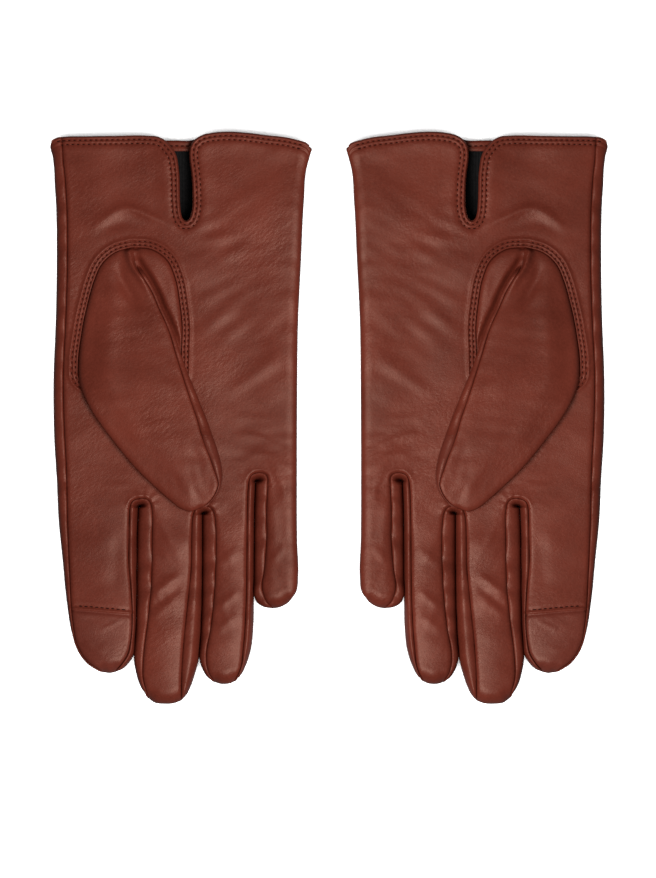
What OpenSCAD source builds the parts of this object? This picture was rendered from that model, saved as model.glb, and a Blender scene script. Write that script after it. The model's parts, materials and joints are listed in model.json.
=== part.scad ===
// A pair of lined leather touchscreen gloves, lying side by side with the palms up.
// X runs across the pair, +Y points to the cuffs and +Z out of the palms.
// The backs of the hands lie on Z = 0. All sizes are millimetres.
// One glove is drawn about its own centre line, with the index finger at -X,
// which is the right hand; the left hand is its mirror image.

/* [Pair] */
// Distance from the middle of the pair to each glove's centre line
glove_offset = 61; // [58:1:80]

/* [Hand] */
// Height of the lying hand and fingers
hand_height = 12; // [11:0.5:14]
// Thickness of the glove leather
leather = 0.8; // [0.6:0.1:0.9]
// Thickness of the knitted lining
lining = 0.9; // [0.6:0.1:1]

/* [Cuff and palm vent] */
// Height of the cuff's edge above the middle of the glove
cuff_y = 117; // [114:1:120]
// How far the leather facing runs into the mouth
facing_depth = 8; // [5:0.5:12]
// Width of the vent in the palm
vent_width = 5.6; // [4:0.2:7]
// Where the vent ends, above the middle of the glove
vent_end_y = 80.5; // [78:0.5:90]
// Radius where the vent's edges turn into the cuff's edge
vent_corner_r = 9; // [6:0.5:11]
// Width of the bound edge
binding_width = 1.8; // [1.4:0.1:2.4]
// Height that the bound edge stands above the palm
binding_height = 0.6; // [0.4:0.1:0.8]

/* [Fingers] */
// Clear gap between two neighbouring fingers
finger_gap = 0.6; // [0.6:0.1:1]
// Distance from a finger's crotch to its bending line
root_length = 8.6; // [7:0.2:10]
// Where the index finger's touch pad starts
index_pad_y = -79; // [-85:1:-74]

/* [Thumb] */
// Height of the thumb stall
thumb_height = 9.5; // [8.5:0.5:11]
// Clear space between the thumb stall and the palm under it
thumb_clearance = 0.5; // [0.5:0.1:1]
// Where the free thumb stall starts, which is its bending line
thumb_hinge_y = 14; // [13:0.5:15]
// Where the thumb's touch pad starts
thumb_pad_y = -7; // [-12:1:-4]

/* [Stitching] */
// Width of a sewing thread
thread_width = 0.4; // [0.3:0.05:0.5]
// Height that a thread stands above the leather
thread_height = 0.2; // [0.1:0.05:0.3]
// Distance from one stitch to the next
stitch_pitch = 1.8; // [1.6:0.1:2.4]

/* [Hidden] */
LEATHER_COLOR = [0.43, 0.22, 0.17];
PAD_COLOR = [0.41, 0.22, 0.17];
LINING_COLOR = [0.05, 0.05, 0.05];
THREAD_COLOR = [0.24, 0.09, 0.06];

body_gap = 0.3;        // clear space between two bodies at a bending line
cut = 1;               // how far a cutter runs past the face that it opens
reach = 70;            // more than half of one glove's width, for blocks that span it
curve_steps = 8;       // points between two given points of a curve
tip_steps = 14;        // points on each half of a fingertip
tip_power = 2.2;       // a fingertip is this superellipse, a little fuller than an ellipse
thumb_top = hand_height + thumb_clearance + thumb_height;
thumb_floor = hand_height + thumb_clearance;
lining_inset = leather + lining;

// Fingers: name, left and right side at the root, bending line, left and right side where
// the tip starts to round, where that is, and the tip's own place.
half_gap = finger_gap / 2;
VALLEYS = [-17, 9.35, 30.5];       // lines on which neighbouring fingers meet
CROTCHES = [-34.4, -37.3, -25];    // where those lines start
index_bend = CROTCHES[0] - root_length;
middle_bend = CROTCHES[1] - root_length;
pinky_bend = CROTCHES[2] - root_length;
FINGERS = [
    ["index", -49.4, VALLEYS[0] - half_gap, index_bend,
        -45.6, VALLEYS[0] - half_gap, -80, -29.5, -104.6],
    ["middle", VALLEYS[0] + half_gap, VALLEYS[1] - half_gap, middle_bend,
        VALLEYS[0] + half_gap, 8.2, -96, -4.6, -117],
    ["ring", VALLEYS[1] + half_gap, VALLEYS[2] - half_gap, middle_bend,
        VALLEYS[1] + half_gap, 29.5, -91, 18.8, -108.8],
    ["pinky", VALLEYS[2] + half_gap, 48.3, pinky_bend,
        VALLEYS[2] + half_gap, 48.1, -64, 39.5, -78],
];
INDEX = FINGERS[0];
PINKY = FINGERS[3];
NAME = 0;
ROOT_X = [1, 2];
BEND_Y = 3;
ROUND_X = [4, 5];
ROUND_Y = 6;
TIP_X = 7;
TIP_Y = 8;
LEFT = 0;
RIGHT = 1;

// The hand's long edges, from the cuff down to the outer fingers' bending lines.
HAND_LEFT = [[-52, cuff_y], [-50.8, 96], [-50.4, 60], [-51.3, 18], [-51, -6], [-50.2, -26],
    [-49.4, index_bend]];
HAND_RIGHT = [[52.4, cuff_y], [50.7, 98], [49.4, 60], [48.3, 20], [48.2, -10], [48.3, pinky_bend]];

// The thumb hole is an arch: straight sides up from the thumb's bending line, and half an ellipse.
hole_x = [-41.3, 1.3];
hole_spring_y = 42;
hole_rise = 27.5;

// The free thumb stall's two edges, from its bending line to its tip.
THUMB_LEFT = [[-41.3, thumb_hinge_y], [-38, 7], [-32.8, -1.6], [-27.5, -8.5], [-18.5, -20], [-9.3, -29],
    [-3.8, -34.2], [0.5, -37], [4.5, -38.1]];
THUMB_RIGHT = [[5, thumb_hinge_y], [9.8, 2.4], [13.5, -7.2], [17, -18.2], [17.8, -23.7], [17, -28.7],
    [14, -33], [9.3, -37], [4.5, -38.1]];

// Distances of the two stitched rows from the bound edge and from the thumb hole.
EDGE_ROWS = [binding_width + 0.5, binding_width + 2.1];
HOLE_ROWS = [1.2, 2.8];

// ---- Curves ----

function reversed(list) = [for (i = [len(list) - 1:-1:0]) list[i]];

// A point at t from b to c on the smooth curve through a, b, c and d.
function on_curve(a, b, c, d, t) =
    0.5 * (2 * b + (c - a) * t + (2 * a - 5 * b + 4 * c - d) * t * t + (3 * b - a - 3 * c + d) * t * t * t);

// The smooth curve through a list of points.
function smooth(points) =
    let (last = len(points) - 1)
    [for (i = [0:last - 1], k = [0:curve_steps - 1])
        let (before = points[max(i - 1, 0)], after = points[min(i + 2, last)])
        on_curve(before, points[i], points[i + 1], after, k / curve_steps),
     points[last]];

// The direction to the left of a path at its point i.
function left_of(path, i) =
    let (along = path[min(i + 1, len(path) - 1)] - path[max(i - 1, 0)])
    [-along.y, along.x] / norm(along);

// A path moved sideways to its left.
function beside(path, distance) = [for (i = [0:len(path) - 1]) path[i] + distance * left_of(path, i)];

function arc(centre, r, from, to, steps = 12) =
    [for (i = [0:steps]) let (a = from + (to - from) * i / steps) centre + r * [cos(a), sin(a)]];

// The closed outline of a ribbon that follows a path, from one sideways distance to another.
function ribbon(path, near, far) = concat(beside(path, near), reversed(beside(path, far)));

// ---- Outlines of the leather, each with an inset for the layers inside it ----

// One long side of a finger, from its root to the middle of its tip.
// past is how far it starts above the bending line.
function finger_side(finger, side, inset, past) =
    let (
        inward = side == LEFT ? inset : -inset,
        rounding = [finger[ROUND_X[side]] + inward - finger[TIP_X], finger[TIP_Y] + inset - finger[ROUND_Y]]
    )
    concat(
        [[finger[ROOT_X[side]] + inward, finger[BEND_Y] + past]],
        [for (k = [0:tip_steps])
            let (a = 90 * k / tip_steps)
            [finger[TIP_X] + rounding.x * pow(cos(a), 2 / tip_power),
             finger[ROUND_Y] + rounding.y * pow(sin(a), 2 / tip_power)]]
    );

function finger_outline(finger, inset, past) =
    concat(finger_side(finger, LEFT, inset, past), reversed(finger_side(finger, RIGHT, inset, past)));

function moved_x(path, distance) = [for (p = path) [p.x + distance, p.y]];

// The hand's outline with its four finger roots. past is how far the cuff and the roots run on.
function hand_outline(inset, past) = concat(
    [[HAND_LEFT[0].x + inset, cuff_y + past]],
    moved_x(smooth(HAND_LEFT), inset),
    [for (i = [0:3]) each concat(
        [[FINGERS[i][ROOT_X[LEFT]] + inset, FINGERS[i][BEND_Y] - past],
         [FINGERS[i][ROOT_X[RIGHT]] - inset, FINGERS[i][BEND_Y] - past]],
        i == 3 ? [] : [
            [FINGERS[i][ROOT_X[RIGHT]] - inset, CROTCHES[i] + inset],
            [FINGERS[i + 1][ROOT_X[LEFT]] + inset, CROTCHES[i] + inset]])],
    moved_x(reversed(smooth(HAND_RIGHT)), -inset),
    [[HAND_RIGHT[0].x - inset, cuff_y + past]]
);

// The same outline with no fingers: the lower end is cut off straight, past all finger roots.
sleeve_end_y = middle_bend - 3 * cut;
function sleeve_outline(inset) = concat(
    [[HAND_LEFT[0].x + inset, cuff_y + cut]],
    moved_x(smooth(HAND_LEFT), inset),
    [[HAND_LEFT[6].x + inset, sleeve_end_y], [HAND_RIGHT[5].x - inset, sleeve_end_y]],
    moved_x(reversed(smooth(HAND_RIGHT)), -inset),
    [[HAND_RIGHT[0].x - inset, cuff_y + cut]]
);

function hole_outline(inset, past) =
    let (
        middle = (hole_x[LEFT] + hole_x[RIGHT]) / 2,
        half = (hole_x[RIGHT] - hole_x[LEFT]) / 2 - inset,
        rise = hole_rise - inset
    )
    concat(
        [[middle - half, thumb_hinge_y - past]],
        [for (a = [180:-6:0]) [middle + half * cos(a), hole_spring_y + rise * sin(a)]],
        [[middle + half, thumb_hinge_y - past]]
    );

// One edge of the thumb stall, moved inwards. Its root moves straight across and its tip straight up.
function thumb_side(points, side, inset, past) =
    let (
        path = smooth(points),
        last = len(path) - 1,
        inward = side == LEFT ? inset : -inset,
        root = [path[0].x + inward, path[0].y - body_gap]
    )
    concat(
        past > 0 ? [root + [0, past]] : [],
        [root],
        [for (i = [2:last - 1]) path[i] + inward * left_of(path, i)],
        [path[last] + [0, inset]]
    );

function thumb_left(inset, past) = thumb_side(THUMB_LEFT, LEFT, inset, past);
function thumb_right(inset, past) = thumb_side(THUMB_RIGHT, RIGHT, inset, past);
function thumb_outline(inset, past) = concat(thumb_left(inset, past), reversed(thumb_right(inset, past)));

// The front edge of the cuff, from the index side down into the vent and up to the little finger's side.
vent_x = 2.5;
vent_r = vent_width / 2;
FRONT_EDGE = concat(
    [[HAND_LEFT[0].x + 0.4, cuff_y], [-30, cuff_y]],
    arc([vent_x - vent_r - vent_corner_r, cuff_y - vent_corner_r], vent_corner_r, 90, 0),
    arc([vent_x, vent_end_y + vent_r], vent_r, 180, 360),
    arc([vent_x + vent_r + vent_corner_r, cuff_y - vent_corner_r], vent_corner_r, 180, 90),
    [[30, cuff_y], [HAND_RIGHT[0].x - 0.4, cuff_y]]
);

// ---- Solids ----

module slab(low, high) {
    translate([0, 0, low]) linear_extrude(high - low) children();
}

// The vent with its round corners, moved outwards by a margin, as a cutter through the palm's layers.
module vent_cutter(margin, low, high) {
    edge = beside(FRONT_EDGE, -margin);
    slab(low, high) polygon(concat([[edge[2].x, cuff_y + 5 * cut]], [for (i = [2:len(edge) - 3]) edge[i]],
        [[edge[len(edge) - 3].x, cuff_y + 5 * cut]]));
}

module hole_cutter(low, high) {
    slab(low, high) polygon(hole_outline(0, 0));
}

// The main piece of leather: palm, back and both edges of the hand, closed by one side seam.
module trank() {
    color(LEATHER_COLOR) difference() {
        slab(0, hand_height) polygon(hand_outline(0, 0));
        slab(leather, hand_height - leather) polygon(sleeve_outline(leather));
        vent_cutter(0, hand_height - leather - cut, hand_height + cut);
        hole_cutter(hand_height - leather - cut, hand_height + cut);
    }
}

// The three crotches of the finger side strips, which stay with the hand.
module fourchette_forks() {
    color(LEATHER_COLOR) intersection() {
        difference() {
            slab(leather, hand_height - leather) polygon(hand_outline(0, 0));
            slab(0, hand_height) polygon(hand_outline(leather, cut));
        }
        translate([VALLEYS[0] - 3, sleeve_end_y, 0]) cube([VALLEYS[2] - VALLEYS[0] + 6, 27, hand_height]);
    }
}

// The stretch of the mouth that the facing covers. past is how far it runs out of the mouth.
module mouth_block(past) {
    translate([-reach, cuff_y - facing_depth, 0]) cube([2 * reach, facing_depth + past, hand_height]);
}

// The leather band turned into the mouth of the glove.
module cuff_facing() {
    color(LEATHER_COLOR) difference() {
        intersection() {
            slab(leather, hand_height - leather) polygon(hand_outline(leather, 0));
            mouth_block(0);
        }
        slab(2 * leather, hand_height - 2 * leather) polygon(sleeve_outline(2 * leather));
        vent_cutter(0, hand_height - 2 * leather - cut, hand_height);
    }
}

// The rolled edge along the front of the cuff and round the vent.
module vent_binding() {
    color(LEATHER_COLOR) slab(hand_height, hand_height + binding_height)
        polygon(ribbon(FRONT_EDGE, 0, -binding_width));
}

// The two rows of stitches beside the rolled edge.
module vent_stitching() {
    color(THREAD_COLOR) for (row = EDGE_ROWS)
        slab(hand_height, hand_height + thread_height)
            polygon(ribbon(FRONT_EDGE, -row, -row - thread_width));
}

// The seam that closes the hand along the index finger's side.
module side_seam_stitching() {
    seam = smooth([[-47.2, cuff_y - 6], [-46.8, 90], [-46.5, 60], [-47, 18], [-46.9, -6], [-46.4, -26],
        [-45.8, index_bend + cut]]);
    color(THREAD_COLOR) slab(hand_height, hand_height + thread_height)
        polygon(ribbon(seam, -thread_width / 2, thread_width / 2));
}

// The two rows of stitches round the thumb hole.
module thumb_hole_stitching() {
    color(THREAD_COLOR) for (row = HOLE_ROWS)
        slab(hand_height, hand_height + thread_height)
            polygon(ribbon(hole_outline(0, 0), row, row + thread_width));
}

// The lining of palm and back, with a sleeve that runs up into the root of the thumb.
module hand_lining() {
    color(LINING_COLOR) {
        difference() {
            slab(leather, hand_height - leather) polygon(hand_outline(leather, 0));
            slab(lining_inset, hand_height - lining_inset) polygon(hand_outline(lining_inset, cut));
            mouth_block(cut);
            vent_cutter(binding_width, hand_height - lining_inset - cut, hand_height);
            slab(hand_height - lining_inset - cut, hand_height) polygon(hole_outline(leather, cut));
        }
        thumb_root_layer(leather, hand_height - lining_inset);
    }
}

// The wedge under the thumb's sloping roof, lowered by the thickness of the layers over it.
// past is how far it runs on at the thumb's bending line and below its own floor.
module thumb_wedge(floor, lowered, past) {
    far_y = hole_spring_y + hole_rise;
    far_z = hand_height + binding_height - lowered;
    near_z = thumb_top - lowered;
    rotate([90, 0, 90]) translate([0, 0, -reach]) linear_extrude(2 * reach)
        polygon([
            [thumb_hinge_y - past, floor - past],
            [thumb_hinge_y - past, near_z],
            [thumb_hinge_y, near_z],
            [far_y, max(far_z, floor)],
            [far_y, floor - past]]);
}

// One layer of the thumb's root: walls up from floor and a sloping roof, open at the bending line.
// depth is how far the layer lies inside the root's outer face.
module thumb_root_layer(depth, floor) {
    thickness = depth == 0 ? leather : lining;
    difference() {
        intersection() {
            slab(floor, thumb_top + cut) polygon(hole_outline(depth, 0));
            thumb_wedge(floor, depth, 0);
        }
        intersection() {
            slab(floor - cut, thumb_top + cut) polygon(hole_outline(depth + thickness, 2 * cut));
            thumb_wedge(floor, depth + thickness, cut);
        }
    }
}

// The root of the thumb, sewn into the hole in the palm.
module thumb_gusset() {
    color(LEATHER_COLOR) thumb_root_layer(0, hand_height - leather);
}

// The layer between two outlines, on one side of a finger.
module side_wall(finger, side) {
    outer = finger_side(finger, side, 0, -body_gap);
    inner = finger_side(finger, side, leather, -body_gap);
    slab(leather, hand_height - leather) polygon(concat(outer, reversed(inner)));
}

// Everything nearer to the fingertips than y.
module beyond(y) {
    translate([-reach, y - 2 * reach, 0]) cube([2 * reach, 2 * reach, 2 * thumb_top]);
}

// The palm and back layers of a finger, and its outer side where the leather wraps round it.
module finger_shell(finger) {
    color(LEATHER_COLOR) {
        difference() {
            slab(hand_height - leather, hand_height) polygon(finger_outline(finger, 0, -body_gap));
            if (finger == INDEX) beyond(index_pad_y);
        }
        slab(0, leather) polygon(finger_outline(finger, 0, -body_gap));
        if (finger == INDEX) side_wall(finger, LEFT);
        if (finger == PINKY) side_wall(finger, RIGHT);
    }
}

module fourchette(finger, side) {
    color(LEATHER_COLOR) side_wall(finger, side);
}

module finger_lining(finger) {
    color(LINING_COLOR) difference() {
        slab(leather, hand_height - leather) polygon(finger_outline(finger, leather, -body_gap));
        slab(lining_inset, hand_height - lining_inset) polygon(finger_outline(finger, lining_inset, cut));
    }
}

module index_touch_pad() {
    color(PAD_COLOR) intersection() {
        slab(hand_height - leather, hand_height) polygon(finger_outline(INDEX, 0, -body_gap));
        beyond(index_pad_y);
    }
}

// The row of stitches above the index touch pad.
module index_pad_stitching() {
    stitch = [stitch_pitch * 0.6, thread_width, thread_height];
    color(THREAD_COLOR) for (x = [-43.5:stitch_pitch:-19.5])
        translate([x, index_pad_y + 1, hand_height]) cube(stitch);
}

// One wall of the thumb stall, between its outer and inner outline.
module thumb_wall(outer, inner) {
    slab(thumb_floor + leather, thumb_top - leather) polygon(concat(outer, reversed(inner)));
}

module thumb_front() {
    color(LEATHER_COLOR) {
        slab(thumb_top - leather, thumb_top) polygon(thumb_outline(0, 0));
        thumb_wall(thumb_left(0, 0), thumb_left(leather, 0));
    }
}

// The leather under the thumb and up its free edge, before it is cut for the touch pad.
module thumb_under_side() {
    slab(thumb_floor, thumb_floor + leather) polygon(thumb_outline(0, 0));
    thumb_wall(thumb_right(0, 0), thumb_right(leather, 0));
}

module thumb_back() {
    color(LEATHER_COLOR) difference() {
        thumb_under_side();
        beyond(thumb_pad_y);
    }
}

module thumb_touch_pad() {
    color(PAD_COLOR) intersection() {
        thumb_under_side();
        beyond(thumb_pad_y);
    }
}

module thumb_lining() {
    color(LINING_COLOR) difference() {
        slab(thumb_floor + leather, thumb_top - leather)
            polygon(thumb_outline(leather, 0));
        slab(thumb_floor + lining_inset, thumb_top - lining_inset)
            polygon(thumb_outline(lining_inset, cut));
    }
}

// One sub-part of the right hand, by its name.
module piece(name) {
    if (name == "trank") trank();
    if (name == "fourchette_forks") fourchette_forks();
    if (name == "cuff_facing") cuff_facing();
    if (name == "vent_binding") vent_binding();
    if (name == "vent_stitching") vent_stitching();
    if (name == "side_seam_stitching") side_seam_stitching();
    if (name == "thumb_hole_stitching") thumb_hole_stitching();
    if (name == "hand_lining") hand_lining();
    if (name == "thumb_gusset") thumb_gusset();
    if (name == "index_touch_pad") index_touch_pad();
    if (name == "index_pad_stitching") index_pad_stitching();
    if (name == "thumb_front") thumb_front();
    if (name == "thumb_back") thumb_back();
    if (name == "thumb_touch_pad") thumb_touch_pad();
    if (name == "thumb_lining") thumb_lining();
    for (finger = FINGERS) {
        if (name == str(finger[NAME], "_shell")) finger_shell(finger);
        if (name == str(finger[NAME], "_lining")) finger_lining(finger);
        if (name == str(finger[NAME], "_fourchette_thumb_side")) fourchette(finger, LEFT);
        if (name == str(finger[NAME], "_fourchette_pinky_side")) fourchette(finger, RIGHT);
    }
}

PIECES = [
    "trank", "fourchette_forks", "cuff_facing", "vent_binding", "vent_stitching", "side_seam_stitching",
    "thumb_hole_stitching", "hand_lining", "thumb_gusset",
    "index_shell", "index_fourchette_pinky_side", "index_touch_pad", "index_pad_stitching", "index_lining",
    "middle_shell", "middle_fourchette_thumb_side", "middle_fourchette_pinky_side", "middle_lining",
    "ring_shell", "ring_fourchette_thumb_side", "ring_fourchette_pinky_side", "ring_lining",
    "pinky_shell", "pinky_fourchette_thumb_side", "pinky_lining",
    "thumb_front", "thumb_back", "thumb_touch_pad", "thumb_lining",
];

module right_hand() {
    translate([-glove_offset, 0, 0]) children();
}

module left_hand() {
    mirror([1, 0, 0]) right_hand() children();
}

for (name = PIECES) {
    right_hand() piece(name);
    left_hand() piece(name);
}
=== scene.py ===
"""A pair of lined leather touchscreen gloves, palms up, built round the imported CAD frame.

Every leather piece is worked out once, for the right hand, in that glove's own millimetres:
X across the glove with the index finger at -X, +Y towards the cuff, Z up from the resting surface.
The left hand is its mirror image. glove_piece() turns a piece into metres in the row's frame.
"""

import json
import math

import bpy
import numpy as np
from mathutils.geometry import delaunay_2d_cdt
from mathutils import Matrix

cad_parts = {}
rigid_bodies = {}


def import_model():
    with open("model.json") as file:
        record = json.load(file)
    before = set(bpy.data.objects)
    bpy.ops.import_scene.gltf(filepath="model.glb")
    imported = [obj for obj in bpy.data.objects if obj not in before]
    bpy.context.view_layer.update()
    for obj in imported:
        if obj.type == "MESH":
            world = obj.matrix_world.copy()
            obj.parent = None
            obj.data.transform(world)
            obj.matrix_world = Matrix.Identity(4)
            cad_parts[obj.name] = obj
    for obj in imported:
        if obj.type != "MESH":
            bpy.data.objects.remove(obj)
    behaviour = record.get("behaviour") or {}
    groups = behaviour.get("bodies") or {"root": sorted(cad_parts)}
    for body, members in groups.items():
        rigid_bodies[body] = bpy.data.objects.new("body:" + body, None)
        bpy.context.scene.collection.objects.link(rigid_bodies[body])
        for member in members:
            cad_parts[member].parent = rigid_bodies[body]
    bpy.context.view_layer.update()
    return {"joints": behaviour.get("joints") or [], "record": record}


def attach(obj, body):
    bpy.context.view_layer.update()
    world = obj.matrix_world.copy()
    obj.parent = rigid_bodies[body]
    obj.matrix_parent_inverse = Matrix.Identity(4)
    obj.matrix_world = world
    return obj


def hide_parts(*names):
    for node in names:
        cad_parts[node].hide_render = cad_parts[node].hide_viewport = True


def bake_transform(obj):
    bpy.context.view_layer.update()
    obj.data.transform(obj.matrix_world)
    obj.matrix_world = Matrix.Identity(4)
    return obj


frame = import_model()

# ---- Sizes from the frame ----

MM = 0.001
MOUNTS = {mount["name"]: mount for mount in frame["record"]["mounts"]}
JOINTS = {joint["name"]: joint for joint in frame["joints"]}
GLOVE_CENTRE = MOUNTS["left_glove_rest"]["pos_m"][0] / MM
FINGERS = ("index", "middle", "ring", "pinky")


def hinge_y(finger):
    return JOINTS[f"right_{finger}_bend"]["pos_m"][1] / MM


# A finger's pieces start this far before its hinge. The second distance, past the hinge, only goes into a
# value that nothing uses: no piece bends.
BEND_BEFORE = 6.0
BEND_AFTER = 9.0
START = {finger: hinge_y(finger) + BEND_BEFORE for finger in FINGERS}

# ---- Levels, above the resting surface ----

PALM_Z = 11.2        # palm leather
EDGE_Z = 4.8         # where a finger or the hand is widest
BACK_Z = 0.35        # back leather
THUMB_MIDDLE_Z = 14.4  # where the thumb is widest
THUMB_UNDER_Z = 12.4
GAP_Z = 10.3         # the bottom of the gap beside the thumb's fold
GAP_TOP_Z = 11.9     # and where it closes at the top of the hole
HOLE_Z = 10.8        # the leather at the thumb hole's sewn edge
LEATHER = 0.7        # thickness of the leather


# ---- Curves ----

def run_along(path):
    """The distance from the start of a path to each of its points."""
    return np.concatenate([[0], np.cumsum(np.linalg.norm(np.diff(path, axis=0), axis=1))])


def points_at(path, distances):
    """The points at some distances along a path."""
    run = run_along(path)
    return np.stack([np.interp(distances, run, path[:, k]) for k in range(path.shape[1])], 1)


def length(path):
    return np.linalg.norm(np.diff(path, axis=0), axis=1).sum()


def evenly(path, spacing):
    """The path as points at even distances of about the spacing."""
    return resample(path, max(2, int(round(length(path) / spacing)) + 1))


def resample(path, count):
    return points_at(path, np.linspace(0, run_along(path)[-1], count))


def closed(loop):
    """A loop with its first point again at its end."""
    return np.vstack([loop, loop[:1]])


def matched(path, guide):
    """One point of the path for each of the guide's points, at the same shares of their lengths."""
    share = run_along(guide)
    return points_at(path, share / share[-1] * length(path))


def fine_start(path, reach=9.0, spacing=0.22):
    """The path with its points closer together near its start."""
    run = run_along(path)
    return np.vstack([points_at(path, np.arange(0, reach, spacing)), path[run > reach + 0.4]])


def smooth(points, spacing=0.8):
    """A smooth curve through unevenly spaced points, as points one spacing apart."""
    p = np.asarray(points, float)
    h = np.linalg.norm(np.diff(p, axis=0), axis=1)[:, None]
    slope = np.diff(p, axis=0) / h
    inner = (slope[:-1] * h[1:] + slope[1:] * h[:-1]) / (h[:-1] + h[1:])
    m = np.vstack([slope[:1], inner, slope[-1:]])
    t = np.linspace(0, 1, 12, endpoint=False)[:, None]
    curve = []
    for i in range(len(p) - 1):
        curve.append(
            (2 * t**3 - 3 * t**2 + 1) * p[i] + (t**3 - 2 * t**2 + t) * h[i] * m[i]
            + (3 * t**2 - 2 * t**3) * p[i + 1] + (t**3 - t**2) * h[i] * m[i + 1])
    return evenly(np.vstack([*curve, p[-1:]]), spacing)


def crossings(path, y):
    """Where the path crosses the line at y, as fractional positions along its points."""
    d = path[:, 1] - y
    at = np.flatnonzero(d[:-1] * d[1:] < 0)
    return [i + d[i] / (d[i] - d[i + 1]) for i in at]


def part(path, start, end):
    """The stretch of a path between two fractional positions."""
    def point(at):
        i = min(int(at), len(path) - 2)
        return path[i] + (at - i) * (path[i + 1] - path[i])
    first, last = int(math.floor(start)) + 1, int(math.ceil(end)) - 1
    inner = path[first:last + 1]
    near_start = len(inner) and np.linalg.norm(inner[0] - point(start)) < 0.05
    near_end = len(inner) > 1 and np.linalg.norm(inner[-1] - point(end)) < 0.05
    inner = inner[int(near_start):len(inner) - int(near_end)]
    return np.vstack([point(start), inner, point(end)])


def sides(path):
    """Unit vectors to the left of a path, at each point."""
    along = np.gradient(path, axis=0)
    left = np.stack([-along[:, 1], along[:, 0]], 1)
    return left / np.linalg.norm(left, axis=1)[:, None]


def nearest(points, path, reach):
    """Distance from each point to a path, up to reach, and how far along the path its nearest place is."""
    out = np.full(len(points), float(reach))
    along = np.zeros(len(points))
    run = run_along(path)
    # The path is taken in short stretches, each with only the points that it could be near.
    cuts = np.linspace(0, len(path) - 1, max(1, len(path) // 40) + 1).astype(int)
    for first, last in zip(cuts[:-1], cuts[1:]):
        piece = path[first:last + 1]
        low, high = piece.min(0) - reach, piece.max(0) + reach
        close = np.flatnonzero(((points >= low) & (points <= high)).all(1))
        if not len(close):
            continue
        bx, by = np.diff(piece, axis=0).T
        size = bx * bx + by * by + 1e-12
        gx = points[close, 0:1] - piece[:-1, 0]
        gy = points[close, 1:2] - piece[:-1, 1]
        t = np.clip((gx * bx + gy * by) / size, 0, 1)
        gap = (gx - t * bx) ** 2 + (gy - t * by) ** 2
        k = gap.argmin(1)
        rows = np.arange(len(close))
        best = np.sqrt(gap[rows, k])
        better = best < out[close]
        out[close[better]] = best[better]
        along[close[better]] = (run[first + k] + t[rows, k] * np.sqrt(size[k]))[better]
    return out, along


def near(points, path, reach):
    """Distance from each point to a path, or reach where that is less."""
    return nearest(points, path, reach)[0]


def inside(points, loop):
    """Which points lie inside a closed loop."""
    x, y = points[:, 0], points[:, 1]
    result = np.zeros(len(points), bool)
    for (ax, ay), (bx, by) in zip(loop, np.roll(loop, -1, axis=0)):
        if ay != by:
            across = (ay > y) != (by > y)
            result ^= across & (x < (bx - ax) * (y - ay) / (by - ay) + ax)
    return result


# ---- Shapes of a surface ----

def step(t):
    """0 before 0, 1 after 1 and a smooth rise between."""
    t = np.clip(t, 0, 1)
    return t * t * (3 - 2 * t)


def round_edge(d, reach):
    """The quarter round at the edge of a soft piece: 0 at the edge, 1 where d is reach."""
    t = 1 - np.clip(d / reach, 0, 1)
    return np.sqrt(np.maximum(0, 1 - t * t))


def profile(*knots):
    """A smooth function of distance through knots of (distance, height)."""
    curve = smooth(knots, 0.02)
    return lambda d: np.interp(d, curve[:, 0], curve[:, 1])


def waves(p, wavelength, heading, spread, seed, count=16):
    """A smooth uneven field of about unit size. Its waves travel near one heading, in degrees."""
    random = np.random.RandomState(seed)
    total = np.zeros(len(p))
    for _ in range(count):
        a = math.radians(heading + spread * random.uniform(-1, 1))
        k = 2 * math.pi / (wavelength * random.uniform(0.7, 1.5))
        total += np.sin(k * (p[:, 0] * math.cos(a) + p[:, 1] * math.sin(a)) + random.uniform(0, 2 * math.pi))
    return total / math.sqrt(count / 2)


def blob(p, x, y, long, wide, heading=0.0):
    """A soft spot, 1 at its centre, long across its heading in degrees and wide the other way."""
    a = math.radians(heading)
    u = (p[:, 0] - x) * math.cos(a) + (p[:, 1] - y) * math.sin(a)
    v = (p[:, 1] - y) * math.cos(a) - (p[:, 0] - x) * math.sin(a)
    return np.exp(-(u / long) ** 2 - (v / wide) ** 2)


def crease(p, points, height, width):
    """A soft fold along a smooth curve, fading at both its ends."""
    path = smooth(points, 1.0)
    reach = 3 * width
    d = near(p, path, reach)
    ends = np.minimum(np.linalg.norm(p - path[0], axis=1), np.linalg.norm(p - path[-1], axis=1))
    fade = step(ends / (0.35 * length(path)))
    return height * np.exp(-(d / width) ** 2) * fade


# ---- Seams and outlines ----

# The front edge of the cuff: index side, down round the vent, little finger's side.
CUFF_FRONT = smooth([
    (-53, 111.3), (-52.6, 113), (-50.6, 114.3), (-46, 114.9), (-40, 115), (-25, 115.2), (-14, 115.3),
    (-8.8, 114.8), (-6.2, 113.5), (-4.1, 111.3), (-2.5, 109.3), (-1.3, 106.8), (-0.7, 103.5),
    (-0.25, 99.5), (-0.1, 93.5), (0.1, 87.3), (0.5, 83.5), (1.2, 81.4), (2.6, 80.4), (4, 81.4),
    (4.9, 83.7), (5.4, 87.3), (5.4, 91.4), (5.2, 96), (4.8, 100.4), (4.3, 104), (4, 107.6),
    (4.2, 110), (4.9, 112), (5.8, 113.3), (7.1, 114.4), (9.4, 115.6), (13.5, 116.5), (20.3, 116.9),
    (28, 116.4), (34.5, 115.6), (47, 113.8), (52.6, 111.7), (54, 109.6)], 0.45)
# The back edge of the cuff.
CUFF_BACK = smooth([
    (-53, 111.6), (-52, 113), (-49, 113.9), (-25, 113.9), (-2, 113.5), (5, 113.6), (9, 115.1),
    (13.5, 116.1), (20.3, 116.5), (34.5, 115.2), (47, 113.4), (53.6, 110.8)], 1.0)

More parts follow.
